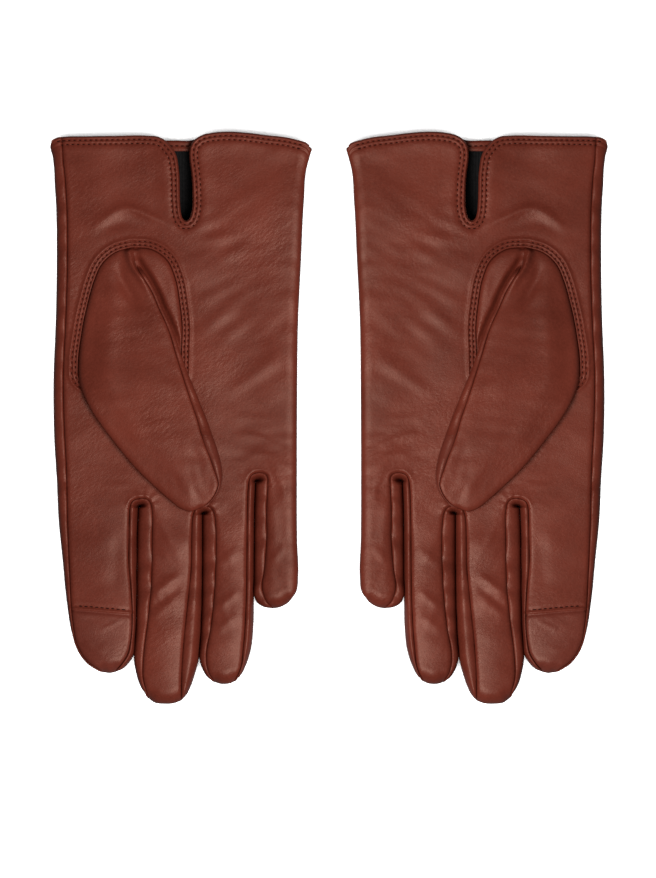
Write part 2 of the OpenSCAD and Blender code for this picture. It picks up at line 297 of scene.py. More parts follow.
# Widest lines of the hand and outer fingers, from the cuff to a fingertip.
LEFT_SIDE = smooth([
    (-53.1, 111.2), (-52.9, 109.8), (-52.1, 107), (-51.6, 103), (-51.2, 95), (-50.8, 89), (-50.4, 65),
    (-50.8, 40), (-51.7, 15.6), (-51.4, -9), (-50.4, -25), (-49.6, -42), (-48, -58), (-46.3, -75),
    (-43.9, -89), (-41.4, -96), (-36.7, -101.5), (-31, -104.1)])
RIGHT_SIDE = smooth([
    (54.1, 108.6), (53.5, 106.8), (52.2, 103.2), (50.8, 89), (49.6, 65), (48.4, 40), (48, 7),
    (47.9, -25), (48, -50), (48.4, -65), (47.7, -71), (44.8, -75.2)])
# The seam beside the index finger's edge, and the line where the leather starts to wrap round the other edge.
SIDE_SEAM = fine_start(smooth([
    (-48.4, 114.65), (-48.1, 110.6), (-47.7, 105), (-47.1, 100), (-46.7, 95), (-46.3, 89),
    (-45.9, 65), (-46.6, 40), (-47.6, 15.6), (-47.2, -4), (-46.5, -17.2), (-45.7, -47.6),
    (-44.9, -65.6), (-43.8, -82.4), (-42, -92.5), (-38.5, -98.6), (-31, -104.1)]))
FOLD_LINE = fine_start(smooth([
    (48.9, 112.75), (47.6, 104), (45.9, 89), (44.7, 65), (43.5, 40), (43, 7), (42.9, -25), (43, -50),
    (43.2, -63), (43.6, -70), (44.8, -75.2)]))

# The seams between neighbouring fingers: from one fingertip up round the crotch to the next fingertip.
WEBS = (
    smooth([
        (-26.3, -103.5), (-23.6, -100.3), (-21.4, -96.8), (-19.9, -90), (-19.4, -80.2),
        (-19.9, -70.3), (-20.8, -59.7), (-20.7, -47.6), (-20.6, -40.5), (-20.4, -37), (-19.9, -34.9),
        (-18.7, -33.6), (-16.8, -33), (-14.8, -32.8), (-13.3, -33.2), (-12.2, -34.4), (-11.5, -36.6),
        (-11.2, -39.5), (-11.3, -47.6), (-11.8, -70.3), (-13.2, -84), (-14.8, -97), (-15, -106),
        (-12.7, -114.8)], 0.6),
    smooth([
        (0.6, -115.4), (0.7, -106.6), (1.5, -93), (3, -77.9), (4.7, -59.7), (4.9, -47), (5.1, -42),
        (5.8, -38.4), (7.5, -36.3), (9.9, -35.8), (12, -36.2), (13.3, -37.5), (14.2, -40),
        (14.6, -44), (14.8, -50), (14.7, -58), (14.2, -70.3), (12.7, -85.4), (10.9, -97.2),
        (11.5, -103.2), (14.3, -108)], 0.6),
    smooth([
        (22.2, -107.8), (24.6, -102.9), (26, -93), (27, -77.9), (27.4, -55.1), (27.5, -42),
        (27.7, -34), (28, -28), (28.5, -25), (29.5, -23.3), (31.2, -22.5), (33.2, -22.3),
        (34.8, -22.8), (35.7, -24.2), (35.9, -27), (35.7, -31.3), (35.4, -38), (35.5, -48),
        (34.4, -62.7), (33.6, -68.8), (35.3, -74.6), (38.1, -77.7)], 0.6),
)
# The lines where neighbouring fingers touch, from the crotch's pit to where the fingertips part.
VALLEYS = (
    smooth([(-16.9, -36.8), (-17.3, -45), (-17.5, -60), (-17.7, -78), (-18.2, -90), (-18.9, -97)]),
    smooth([(9.3, -39.6), (9.3, -60), (9, -80), (8.4, -92), (7.9, -98)]),
    smooth([(31, -26.2), (30.7, -34), (30.5, -45), (30.4, -60), (30.3, -73)]),
)
# The widest line of each fingertip, from its valley to the front tip edge: on the thumb's side and on the
# little finger's side.
TIP_SIDES = {
    "index": (None, [(-20.7, -100), (-23.2, -102.6), (-26.3, -103.9)]),
    "middle": ([(-18.2, -103), (-16, -110), (-12.7, -114.8)],
               [(6.6, -103.3), (4.6, -109.5), (2.7, -113.3), (0.6, -115.6)]),
    "ring": ([(9.2, -102.7), (11.2, -106), (14.3, -108.1)],
             [(30.1, -85), (29, -95.1), (27, -101.3), (25, -105.2), (22.2, -107.9)]),
    "pinky": ([(31.6, -75.6), (34.5, -77.4), (38.1, -77.9)], None),
}
# The edge over each fingertip where the palm side meets the back.
TIP_EDGES = {
    "index": [(-31, -104.1), (-28.6, -104.4), (-26.3, -103.9)],
    "middle": [(-12.7, -114.8), (-10.6, -116.4), (-6.5, -117), (-2.2, -116.7), (0.6, -115.6)],
    "ring": [(14.3, -108.1), (16.4, -108.8), (18.5, -108.9), (20.6, -108.6), (22.2, -107.9)],
    "pinky": [(38.1, -77.9), (40.5, -77.6), (43, -76.5), (44.8, -75.2)],
}

# The thumb hole's sewn edge, from its top round the index finger's side and back.
HOLE = smooth([
    (-19.4, 69.5), (-26.4, 67.4), (-31.8, 62.6), (-34.6, 56.5), (-36.8, 49), (-39.8, 34.9),
    (-41.3, 21), (-41, 16.5), (-38, 14), (-30, 13.2), (-20, 13), (-10, 13.2), (-3, 14), (0, 17),
    (0.5, 22), (0.6, 28), (0.9, 37), (-0.1, 47), (-1.9, 57), (-5.4, 64.6), (-11.6, 68.8),
    (-19.4, 69.5)], 0.6)
# The thumb's left edge from the top of the hole to the tip, its seam and its other edge from top to tip.
THUMB_LEFT = smooth([
    (-19.4, 69.5), (-26.4, 67.4), (-31.8, 62.6), (-34.6, 56.5), (-36.8, 49), (-39.8, 34.9),
    (-41.3, 21), (-41.2, 16), (-38.2, 7.4), (-32.9, -1.6), (-27.4, -9), (-18.6, -19.8), (-9.5, -28.7),
    (-4.2, -33.4), (0.2, -36.8), (4.3, -38.2), (8.4, -36.9)], 0.6)
THUMB_SEAM = smooth([
    (-18.8, 69.2), (-18.4, 65.5), (-17.2, 61.2), (-14.8, 57.2), (-11.3, 51.3), (-8.3, 44.4),
    (-5.9, 39.3), (-3.6, 33.3), (-1.8, 27), (0.5, 19.7), (2.8, 12.4), (5.1, 5.6), (7.2, -0.5),
    (8.9, -6.5), (10.8, -12), (12.6, -16.5), (14.1, -20.9), (15.5, -25), (15.9, -27), (15.3, -29.4),
    (13.8, -32.3), (11.8, -34.6), (8.4, -36.9)], 0.6)
THUMB_RIGHT = smooth([
    (-18.2, 69), (-17.5, 65.3), (-16, 61.9), (-12.9, 57.2), (-9.6, 51.2), (-6.9, 44.6), (-4.5, 39.7),
    (-1.4, 32.2), (1, 25.1), (3.3, 18.8), (6, 12.4), (8.7, 5.6), (11.3, -0.8), (13.4, -6.8),
    (15.6, -13.1), (16.8, -17.4), (17.5, -21.7), (17.6, -25), (16.9, -28.4), (15.3, -31.8),
    (12.8, -34.6), (8.4, -36.9)], 0.6)
THUMB_PAD_Y = -6.8
INDEX_PAD_LINE = [(-44, -78.2), (-36, -78.7), (-28, -79.4), (-19.6, -80.1)]


def web_parts(web, left_start, right_start):
    """A web seam split where its two fingers start: finger to its left, crotch, finger to its right."""
    left = crossings(web, left_start)[0]
    right = crossings(web, right_start)[-1]
    return part(web, 0, left), part(web, left, right), part(web, right, len(web) - 1)


WEB_PARTS = [web_parts(WEBS[i], START[FINGERS[i]], START[FINGERS[i + 1]]) for i in range(3)]


def side_split(path, start):
    """An outer edge split where its finger starts: the hand's part and the finger's."""
    at = crossings(path, start)[0]
    return part(path, 0, at), part(path, at, len(path) - 1)


SIDE_SEAM_HAND, SIDE_SEAM_INDEX = side_split(SIDE_SEAM, START["index"])
LEFT_HAND, LEFT_INDEX = side_split(LEFT_SIDE, START["index"])
FOLD_HAND, FOLD_PINKY = side_split(FOLD_LINE, START["pinky"])
RIGHT_HAND, RIGHT_PINKY = side_split(RIGHT_SIDE, START["pinky"])

# Each finger's front seams from its start to its tip, and its widest lines beside them.
FRONT_LEFT = {"index": SIDE_SEAM_INDEX, **{FINGERS[i + 1]: WEB_PARTS[i][2] for i in range(3)}}
FRONT_RIGHT = {"pinky": FOLD_PINKY, **{FINGERS[i]: WEB_PARTS[i][0][::-1] for i in range(3)}}


def valley_side(finger, side):
    """A finger's widest line beside a valley, from the finger's start to its tip. side is -1 or 1."""
    i = FINGERS.index(finger) - (side < 0)
    valley = VALLEYS[i]
    start = np.array([[np.interp(-START[finger], -valley[:, 1], valley[:, 0]), START[finger]]])
    valley = valley[valley[:, 1] < START[finger] - 0.3]
    tip = TIP_SIDES[finger][0 if side < 0 else 1]
    return smooth(np.vstack([start, valley[:-3:6], valley[-1:], tip]))


WIDE_LEFT = {"index": LEFT_INDEX, **{f: valley_side(f, -1) for f in FINGERS[1:]}}
WIDE_RIGHT = {"pinky": RIGHT_PINKY, **{f: valley_side(f, 1) for f in FINGERS[:3]}}
TIPS = {finger: smooth(points, 0.6) for finger, points in TIP_EDGES.items()}
# The front tip edges end exactly on the seams.
for finger in FINGERS:
    FRONT_LEFT[finger][-1] = TIPS[finger][0]
    FRONT_RIGHT[finger][-1] = TIPS[finger][-1]
    WIDE_LEFT[finger][-1] = TIPS[finger][0]
    WIDE_RIGHT[finger][-1] = TIPS[finger][-1]


# The pit's end stays open by this much, so that no two points coincide.
PIT_WIDTH, PIT_LENGTH = 0.04, 0.12


def pit_path(i):
    """The bottom of a crotch, a point for each point of its seam: down the valley, closing round its end."""
    seam, valley = WEB_PARTS[i][1], VALLEYS[i]
    top_x, top_y = valley[0]
    y = np.minimum(seam[:, 1], top_y)
    x = np.interp(-y, -valley[:, 1], valley[:, 0])
    over = np.clip((seam[:, 1] - top_y) / (seam[:, 1].max() - top_y), 0, 1)
    return np.column_stack([x + PIT_WIDTH / 2 * over * np.sign(seam[:, 0] - top_x), y + PIT_LENGTH * over])


# ---- Heights of the palm leather ----

vent_ridges = profile((0, -1.2), (0.1, -0.45), (0.35, 0.1), (0.75, 0.32), (1.1, 0.24), (1.35, -0.04),
                      (1.55, -0.2), (1.75, -0.08), (2.05, 0.16), (2.4, 0.28), (2.75, 0.18),
                      (3.05, -0.08), (3.25, -0.2), (3.45, -0.1), (3.9, 0.1), (5.0, 0.26), (7, 0.16),
                      (10, 0))
hole_ridges = profile((0, -0.75), (0.12, -0.3), (0.45, 0.26), (0.75, 0.2), (1.05, -0.08),
                      (1.2, -0.16), (1.35, -0.1), (1.65, 0.16), (1.95, 0.28), (2.25, 0.18),
                      (2.5, -0.1), (2.65, -0.2), (2.8, -0.1), (3.2, 0.28), (3.65, 0.5), (4.1, 0.25),
                      (4.6, -0.08), (5.4, -0.03), (7, 0))
VENT_ROWS = (1.55, 3.25)
HOLE_ROWS = (1.2, 2.65)
STITCH_PITCH = 2.2


def offset(path, d):
    """A path moved d to its left."""
    return evenly(path + d * sides(path), 0.45)


VENT_STITCH_LINES = [offset(CUFF_FRONT[4:-4], -d) for d in VENT_ROWS]
HOLE_STITCH_LINES = [offset(HOLE, -d) for d in HOLE_ROWS]


def puckers(p):
    """Dips under the stitches, with the leather standing up between them."""
    z = np.zeros(len(p))
    for line in VENT_STITCH_LINES + HOLE_STITCH_LINES:
        d, along = nearest(p, line, 1.2)
        z -= 0.17 * np.cos(2 * math.pi * along / STITCH_PITCH) * np.exp(-(d / 0.42) ** 2) * (d < 1.2)
    return z


BACK_HEM = 0.5      # the back's hem stands out less than the front's
SEAM_DROP, SEAM_REACH = 1.25, 1.7
FINGER_SEAMS = [SIDE_SEAM, *WEBS]


def palm_base(p):
    """The palm leather's broad shape: lower towards the cuff and towards both sides."""
    return PALM_Z - 1.5 * step((p[:, 1] - 78) / 38) - 0.5 * (p[:, 0] / 50) ** 2


def finger_crown(p):
    """Each finger's palm side is a little higher along its middle."""
    crown = -0.35 * step((-34 - p[:, 1]) / 14)
    for finger in FINGERS:
        left, right = FRONT_LEFT[finger], FRONT_RIGHT[finger]
        xl = np.interp(-p[:, 1], -left[:, 1], left[:, 0])
        xr = np.interp(-p[:, 1], -right[:, 1], right[:, 0])
        u = (2 * p[:, 0] - xl - xr) / (xr - xl + 1e-6)
        if finger == "pinky":
            u = np.minimum(u, 0)
        crown += 0.8 * step((START[finger] - p[:, 1]) / 14) * np.maximum(0, 1 - u * u)
    return crown


# The palm leather's own folds, as (height, width, curve). A height below 0 makes a hollow.
FOLDS = (
    # An arched fold above the thumb hole, and the hollow under it.
    (0.6, 2.0, [(-39, 73.5), (-34, 78.3), (-29, 82.3), (-24.5, 84.9), (-18.9, 85.2), (-11.7, 82.2),
        (-5, 79), (1, 75)]),
    (0.3, 0.7, [(-28, 88.3), (-23.5, 86.8), (-18.9, 85.2), (-11.7, 82.2), (-5.5, 79.3), (-1, 77)]),
    (-0.35, 2.4, [(-36, 74.5), (-29, 78.2), (-21, 79.8), (-13, 77.6), (-6, 73.5)]),
    # Streaks across the palm, from the vent to the little finger's edge.
    (0.22, 2.4, [(2, 71), (12, 73), (22, 74.5), (30, 78), (44, 80)]),
    (0.14, 2.0, [(8, 66), (20, 68), (32, 73), (45, 74)]),
    (0.14, 2.6, [(7, 32), (17, 42), (27, 50), (40, 55)]),
    (0.14, 2.2, [(12, 26), (24, 35), (36, 40), (44, 42)]),
    (0.38, 3.0, [(14, 8), (24, 13), (34, 20), (47, 31)]),
    (0.4, 0.9, [(-39.5, 15), (-44, 18.5), (-47.5, 21.5)]),
    (0.3, 0.9, [(-41, 19), (-44.5, 23), (-46.5, 28)]),
    (0.22, 2.5, [(16, -4), (28, 0), (40, -3)]),
    (0.35, 1.6, [(20, -7), (32, -8), (44, -14)]),
    (0.3, 1.5, [(24, -16), (34, -15), (45, -22)]),
    (0.4, 1.7, [(36, -19), (41, -25), (43.5, -36)]),
    (0.3, 1.8, [(-9, -38), (-6, -46), (-2, -54)]),
    # Slanting folds across the fingers, and the pressed line across the index fingertip.
    (0.5, 1.7, [(-14, -75), (-7, -69), (2, -63)]),
    (0.32, 1.7, [(-13, -83), (-7, -78), (1, -73)]),
    (-0.35, 1.5, [(-13.5, -79.5), (-6, -73.5), (2, -68)]),
    (0.42, 1.7, [(13, -79.5), (20, -74), (27, -69)]),
    (0.28, 1.7, [(13.5, -89), (19, -84), (26, -80)]),
    (0.28, 2.0, [(14, -62), (20, -57), (27, -52)]),
    (0.22, 0.7, [(-34, -87.6), (-28, -84.7), (-21.8, -81.6)]),
    (0.2, 1.5, [(-40, -90), (-34, -95), (-28, -94)]),
    (0.25, 1.6, [(36, -60), (40, -56), (44, -50)]),
    (-0.25, 3.0, [(-24, -40), (-26, -60), (-27, -77)]),
)


def wrinkles(p):
    """The soft folds of the palm leather."""
    z = 0.17 * waves(p, 34, 60, 70, 1) + 0.07 * waves(p, 15, 75, 50, 2)
    z += 0.04 * waves(p, 7.5, 115, 30, 3) * (0.35 + blob(p, 28, 50, 26, 26) + blob(p, 30, 76, 24, 10))
    below_palm = blob(p, 34, -14, 15, 12) + blob(p, -18, -27, 12, 9) + blob(p, 12, -30, 9, 6)
    z += 0.055 * waves(p, 5.2, 80, 22, 4) * below_palm
    on_fingers = blob(p, -4, -66, 9, 22) + blob(p, 20, -70, 7, 26) + 0.7 * blob(p, 41, -50, 6, 22)
    z += 0.05 * waves(p, 6, 40, 30, 5) * on_fingers
    for height, width, curve in FOLDS:
        z += crease(p, curve, height, width)
    return z


def gathers(p):
    """The rim over each crotch, and the small folds that run out from it where the seam turns tightly."""
    z = np.zeros(len(p))
    for _, crotch, _ in WEB_PARTS:
        near_top = step((p[:, 1] - crotch[:, 1].max() + 5) / 3)
        z += 0.3 * np.exp(-((near(p, crotch, 3.0) - 1.1) / 0.5) ** 2) * near_top
        middle = crotch[len(crotch) // 2]
        away = p - (middle - np.array([0, 2.5]))
        angle = np.arctan2(away[:, 1], away[:, 0])
        r = np.linalg.norm(away, axis=1)
        folds = 0.22 * np.sin(9 * angle + 1) * step((r - 2) / 1.5)
        z += folds * np.exp(-((r - 2.5) / 3.2) ** 2) * (away[:, 1] > -1)
    return z


pad_profile = profile((-4, 0), (-2.6, 0.04), (-1.9, -0.05), (-1.55, -0.26), (-1.2, 0.1),
                      (-0.75, 0.45), (-0.3, 0.5), (0, 0.28), (0.4, 0), (1.2, -0.1), (2.5, -0.12),
                      (6, 0))


def below_pad_seam(p):
    """How far each point lies below the seam across the index fingertip."""
    line = smooth(INDEX_PAD_LINE, 1.0)
    return np.interp(p[:, 0], line[:, 0], line[:, 1]) - p[:, 1]


def pad_seam(p):
    """The lapped seam across the index fingertip: a stitched groove and a raised lip under it."""
    d = below_pad_seam(p)
    on_finger = (p[:, 0] < -18) & (np.abs(d) < 12)
    return np.where(on_finger, pad_profile(np.clip(d, -4, 6)), 0)


def pad_height(p):
    """The index fingertip's pad, which starts under the lip of the seam across the finger."""
    return palm_height(p) - 0.75 * (1 - step(below_pad_seam(p) / 2.0))


def smooth_palm_height(p):
    """The palm leather without its stitched bands."""
    z = palm_base(p) + finger_crown(p) + wrinkles(p) + gathers(p) + pad_seam(p)
    for seam in FINGER_SEAMS:
        z -= SEAM_DROP * (1 - round_edge(near(p, seam, SEAM_REACH), SEAM_REACH))
    for tip in TIPS.values():
        z = EDGE_Z + (z - EDGE_Z) * round_edge(near(p, tip, 6.0), 6.0)
    return z


def palm_height(p):
    """The palm leather with the stitched bands along the cuff and round the thumb hole."""
    bands = vent_ridges(near(p, CUFF_FRONT, 10)) + hole_ridges(near(p, HOLE, 7)) + puckers(p)
    return smooth_palm_height(p) + bands


# How a strip of leather goes round a side: up beside the seam by lift, over a crest at that share of its
# width, and down. A higher fall keeps it up for less of the way.
INDEX_SIDE_WALL = {"lift": 0.9, "crest": 0.2, "fall": 0.6}
FOLD_WALL = {"lift": 0.0, "crest": 0.0, "fall": 0.36}
THUMB_SIDE_WALL = {"lift": 0.75, "crest": 0.22, "fall": 0.6}
PINKY_SIDE_WALLS = {
    "index": {"lift": 1.25, "crest": 0.30, "fall": 1.5},
    "middle": {"lift": 1.25, "crest": 0.42, "fall": 1.3},
    "ring": {"lift": 1.2, "crest": 0.36, "fall": 1.6},
}
RIDGE_FADE = 0.85    # the share of the cuff's ridges that is lost on the way to the widest line


def cuff_height(p):
    """The front of the cuff, out over the rounded side edges."""
    z = palm_height(p)
    for seam, wide, wall in ((SIDE_SEAM, LEFT_SIDE, INDEX_SIDE_WALL), (FOLD_LINE, RIGHT_SIDE, FOLD_WALL)):
        crest = wall["crest"]
        a = np.interp(-p[:, 1], -seam[:, 1], seam[:, 0])
        b = np.interp(-p[:, 1], -wide[:, 1], wide[:, 0])
        out = ((p[:, 0] - a) / (b - a) - crest) / (1 - crest)
        top = smooth_palm_height(np.column_stack([a, p[:, 1]])) + wall["lift"]
        side = EDGE_Z + (top - EDGE_Z) * (1 - np.clip(out, 0, 1) ** 2) ** (wall["fall"] / 2)
        side += (1 - RIDGE_FADE * step(crest + (1 - crest) * out)) * vent_ridges(near(p, CUFF_FRONT, 10))
        z = np.where(out > 0, side, z)
    return z


def slope(height, p, h=0.05):
    """The surface's upward unit normals."""
    dx = (height(p + [h, 0]) - height(p - [h, 0])) / (2 * h)
    dy = (height(p + [0, h]) - height(p - [0, h])) / (2 * h)
    normal = np.stack([-dx, -dy, np.ones(len(p))], 1)
    return normal / np.linalg.norm(normal, axis=1)[:, None]


# ---- Meshes ----

def fill(loops, grid, rings):
    """Points and triangles that fill the first closed loop less the others.
    rings are pairs of a path and the distances from it at which rows of points run along it."""
    outer = loops[0]
    rim = np.vstack(loops)
    rims = [closed(loop) for loop in loops]
    taken = [(path, distances[-1]) for path, distances in rings]

    def filled(points):
        """Which points lie in the first loop and in none of the others."""
        in_holes = np.any([inside(points, loop) for loop in loops[1:]] or [False], axis=0)
        return inside(points, outer) & ~in_holes

    def room(points, margin, skip=()):
        """The points that lie inside, clear of the rim by a margin and of the rows along earlier paths."""
        points = points[filled(points)]
        for loop in rims:
            points = points[near(points, loop, margin + 1) >= margin]
        for path, reach in skip:
            points = points[near(points, path, reach + 1) >= reach + 0.5 * min(grid, 1.0)]
        return points

    low, high = outer.min(0), outer.max(0)
    columns = np.arange(low[0], high[0], grid)
    rows = np.arange(low[1], high[1], grid * math.sqrt(3) / 2)
    lattice = [np.stack([columns + (i % 2) * grid / 2, np.full(len(columns), y)], 1)
               for i, y in enumerate(rows)]
    points = [rim, room(np.vstack(lattice), 0.4 * grid, taken)]
    for number, (path, distances) in enumerate(rings):
        for distance in distances:
            for sign in (-1, 1):
                row = path + sign * distance * sides(path)
                row = row[near(row, path, distance + 1) >= 0.97 * distance]
                points.append(room(row, 0.09, taken[:number]))
    points = np.vstack(points)
    edges = []
    first = 0
    for loop in loops:
        n = len(loop)
        edges += [(first + i, first + (i + 1) % n) for i in range(n)]
        first += n
    made = delaunay_2d_cdt([tuple(q) for q in points], edges, [], 0, 1e-5)
    points = np.array([tuple(v) for v in made[0]])
    faces = np.array([f for f in made[2] if len(f) == 3])
    faces = faces[filled(sum(points[faces[:, k]] for k in range(3)) / 3)]
    a, b, c = (points[faces[:, k]] for k in range(3))
    turn = (b - a)[:, 0] * (c - a)[:, 1] - (b - a)[:, 1] * (c - a)[:, 0]
    faces[turn < 0] = faces[turn < 0][:, ::-1]
    used = np.unique(faces)
    index = np.full(len(points), -1)
    index[used] = np.arange(len(used))
    return points[used], index[faces]


def vertex_normals(points, faces):
    """Normals averaged from the faces round each point."""
    a, b, c = (points[faces[:, k]] for k in range(3))
    area = np.cross(b - a, c - a)
    if faces.shape[1] == 4:
        area = area + np.cross(c - a, points[faces[:, 3]] - a)
    normals = np.zeros((len(points), 3))
    for k in range(faces.shape[1]):
        np.add.at(normals, faces[:, k], area)
    return normals / (np.linalg.norm(normals, axis=1)[:, None] + 1e-12)


def thicken(points, faces, normals, thickness, inwards=None):
    """A sheet with its underside and its cut edge. inwards is the way to the underside, if not -normals."""
    n = len(points)
    edges = {(int(a), int(b)) for face in faces for a, b in zip(face, np.roll(face, -1))}
    rim = sorted((b, a, a + n, b + n) for a, b in edges if (b, a) not in edges)
    both = [tuple(f) for f in faces] + [tuple(i + n for i in f[::-1]) for f in faces] + rim
    inwards = -normals if inwards is None else inwards
    under = points + np.reshape(thickness, (-1, 1)) * inwards
    return np.vstack([points, under]), both, np.vstack([normals, -normals])


STANDARD_ROWS = (0.12, 0.32, 0.62, 1.05, 1.6)     # distances from an edge at which rows of points follow it


def height_sheet(loops, height, grid=1.2, rings=None, under=False, thickness=LEATHER, joins=()):
    """A leather sheet over a plan outline. under is for one that faces down.
    joins are levels of y at which the sheet runs on smoothly into another."""
    if rings is None:
        rings = [(closed(loop), STANDARD_ROWS) for loop in loops]
    flat, faces = fill(loops, grid, rings)
    points = np.column_stack([flat, height(flat)])
    normals = vertex_normals(points, faces)
    on_join = np.abs(flat[:, 1:] - np.array([joins or [1e9]])).min(1) < 0.02
    join = np.flatnonzero(on_join | (near(flat, FOLD_LINE, 1.0) < 0.02))
    for seam in (*FINGER_SEAMS, THUMB_SEAM, THUMB_LEFT, HOLE, *BACK_SEAMS):
        join = join[near(flat[join], seam, 1.0) > 0.3]
    normals[join] = slope(height, flat[join])
    inwards = np.tile([0.0, 0.0, -1.0], (len(points), 1))
    if under:
        normals = -normals
        inwards = -inwards
        faces = faces[:, ::-1]
    return thicken(points, faces, normals, thickness, inwards)


def bezier(a, b, c, d, t):
    """The place at t on the cubic curve with four control values."""
    return (1 - t) ** 3 * a + 3 * (1 - t) ** 2 * t * b + 3 * (1 - t) * t * t * c + t**3 * d


def grid_faces(rows, columns):
    """The four-sided faces of a grid of points, row by row."""
    corners = [i * columns + j for i in range(rows - 1) for j in range(columns - 1)]
    return np.array([(a, a + 1, a + columns + 1, a + columns) for a in corners])


def back_line(wide, seam, inset):
    """Where a side strip meets the back: inward from the widest line, closing on it at the ends that meet."""
    gap = seam - wide
    size = np.linalg.norm(gap, axis=1)[:, None]
    reach = np.minimum(inset, 4 * size)
    return wide + gap / (size + 1e-9) * reach


def strip(seam, wide, top, bottom, inset, lift, crest, fall=1.0, edge_z=EDGE_Z, puff=0.0, seed=0):
    """A leather strip from a seam on the palm side out to the widest line and under to the back.
    It stands up beside the seam by lift, over a crest at that share of its width, and then falls away.
    top and bottom are the height functions of the sheets that it joins."""
    n = len(seam)
    wide = wide if len(wide) == n else matched(wide, seam)
    back = back_line(wide, seam, inset)
    gap = np.linalg.norm(wide - seam, axis=1)
    z0, z1, z2 = top(seam), np.broadcast_to(edge_z, n), bottom(back)
    z1 = np.clip(z1, z2 * 0.5 + 0.2, z0)
    bulge = np.zeros(n)
    if puff:
        run = run_along(seam)
        bulge = puff * waves(seam, 11, 90, 25, seed) * step(run / 6) * step((run[-1] - run) / 6)
    rise = np.minimum(lift + bulge, 0.8 * gap)
    columns = []
    for a in np.linspace(0, math.pi / 2, 6)[:-1] if lift else ():
        q = crest * (1 - math.cos(a))
        columns.append(np.column_stack([seam + q * (wide - seam), z0 + rise * math.sin(a)]))
    share = crest if lift else 0.0
    for b in np.linspace(0, math.pi / 2, 10):
        q = share + (1 - share) * math.sin(b)
        z = z1 + (z0 + rise * (lift > 0) - z1) * max(0.0, math.cos(b)) ** fall
        columns.append(np.column_stack([seam + q * (wide - seam), z]))
    for t in np.linspace(0, 1, 7)[1:]:
        q = bezier(0, 0.0, 0.45, 1, t)
        z = bezier(z1, z1 - 0.55 * (z1 - z2), z2, z2, t)
        columns.append(np.column_stack([wide + q * (back - wide), z]))
    return np.stack(columns, 1)


def crotch_wall(i):
    """The wall of a crotch: a finger's side at either end, and between them a gathered pocket."""
    seam, pit = WEB_PARTS[i][1], pit_path(i)
    ends = (PINKY_SIDE_WALLS[FINGERS[i]], THUMB_SIDE_WALL)
    first, last = (strip(seam, pit, palm_height, back_height, INSET_WEB, **wall) for wall in ends)
    pocket = strip(seam, pit, palm_height, back_height, INSET_WEB, 0.5, 0.14, 3.5, edge_z=2.6)
    beads = 0.32 * np.sin(2 * math.pi * run_along(seam) / 1.25)
    pocket[:, :, 2] += beads[:, None] * np.exp(-((np.arange(pocket.shape[1]) - 4) / 2.2) ** 2)
    top = seam[:, 1].argmax()
    arms = np.concatenate([first[:top], last[top:]])
    # The pocket has faded out where the crotch meets the fingers, even in the shortest crotch.
    pocket_end = max(seam[top, 1] - 5.0, seam[0, 1], seam[-1, 1])
    share = step((seam[:, 1] - pocket_end) / 3.5)[:, None, None]
    return arms * (1 - share) + pocket * share


def facing_out(grid):
    """A strip's faces and normals, turned outwards at its widest line, six columns from its back edge."""
    faces = grid_faces(*grid.shape[:2])
    normals = vertex_normals(grid.reshape(-1, 3), faces).reshape(grid.shape)
    outward = (grid[:, -7] - grid[:, 0]) * [1, 1, 0]
    if (normals[:, -7] * outward).sum() < 0:
        return faces[:, ::-1], -normals
    return faces, normals


def strip_sheet(grid, runs_on=None):
    """A side strip's mesh. runs_on is the height of a sheet that its first edge carries on without a seam."""
    faces, normals = facing_out(grid)
    if runs_on:
        normals[:, 0] = slope(runs_on, grid[:, 0, :2])
    width = np.linalg.norm(np.diff(grid[:, :, :2], axis=1), axis=2).sum(1)
    thin = np.repeat(np.minimum(LEATHER, 0.12 + 0.3 * width), grid.shape[1])
    return thicken(grid.reshape(-1, 3), faces, normals.reshape(-1, 3), thin)


def hemmed(grid, edge, back_edge):
    """A side strip finished at the cuff: its end follows the edge and carries on the stitched ridges."""
    columns = grid.shape[1]
    widest = columns - 7
    run = np.stack([run_along(grid[:, j]) for j in range(columns)], 1)
    for j in range(columns):
        x = grid[0, j, 0]
        front, rear = (np.interp(x, *line[np.argsort(line[:, 0])].T) for line in (edge, back_edge))
        target = front + (rear - front) * step((j - widest + 3) / 6)
        grid[:, j, 1] += (target - grid[0, j, 1]) * (1 - step(run[:, j] / 9))
    run = np.stack([run_along(grid[:, j]) for j in range(columns)], 1)
    normals = facing_out(grid)[1]
    normals[:, 0] = (0, 0, 1)
    over = np.arange(columns) / widest
    least = 1 - RIDGE_FADE
    on_back = least + (BACK_HEM - least) * step((over - 1) / (over[-1] - 1))
    share = np.where(over < 1, 1 - RIDGE_FADE * step(over), on_back)
    return grid + normals * (share * vent_ridges(run))[..., None]


SADDLE_STITCH = (1.5, 0.6, 0.5)     # length, width and height
HEM_STITCH = (1.5, 0.5, 0.4)
SEAM_STITCH = (0.8, 0.3, 0.3)
STITCH_RISE = 0.04                  # how far a stitch's middle stands above the leather


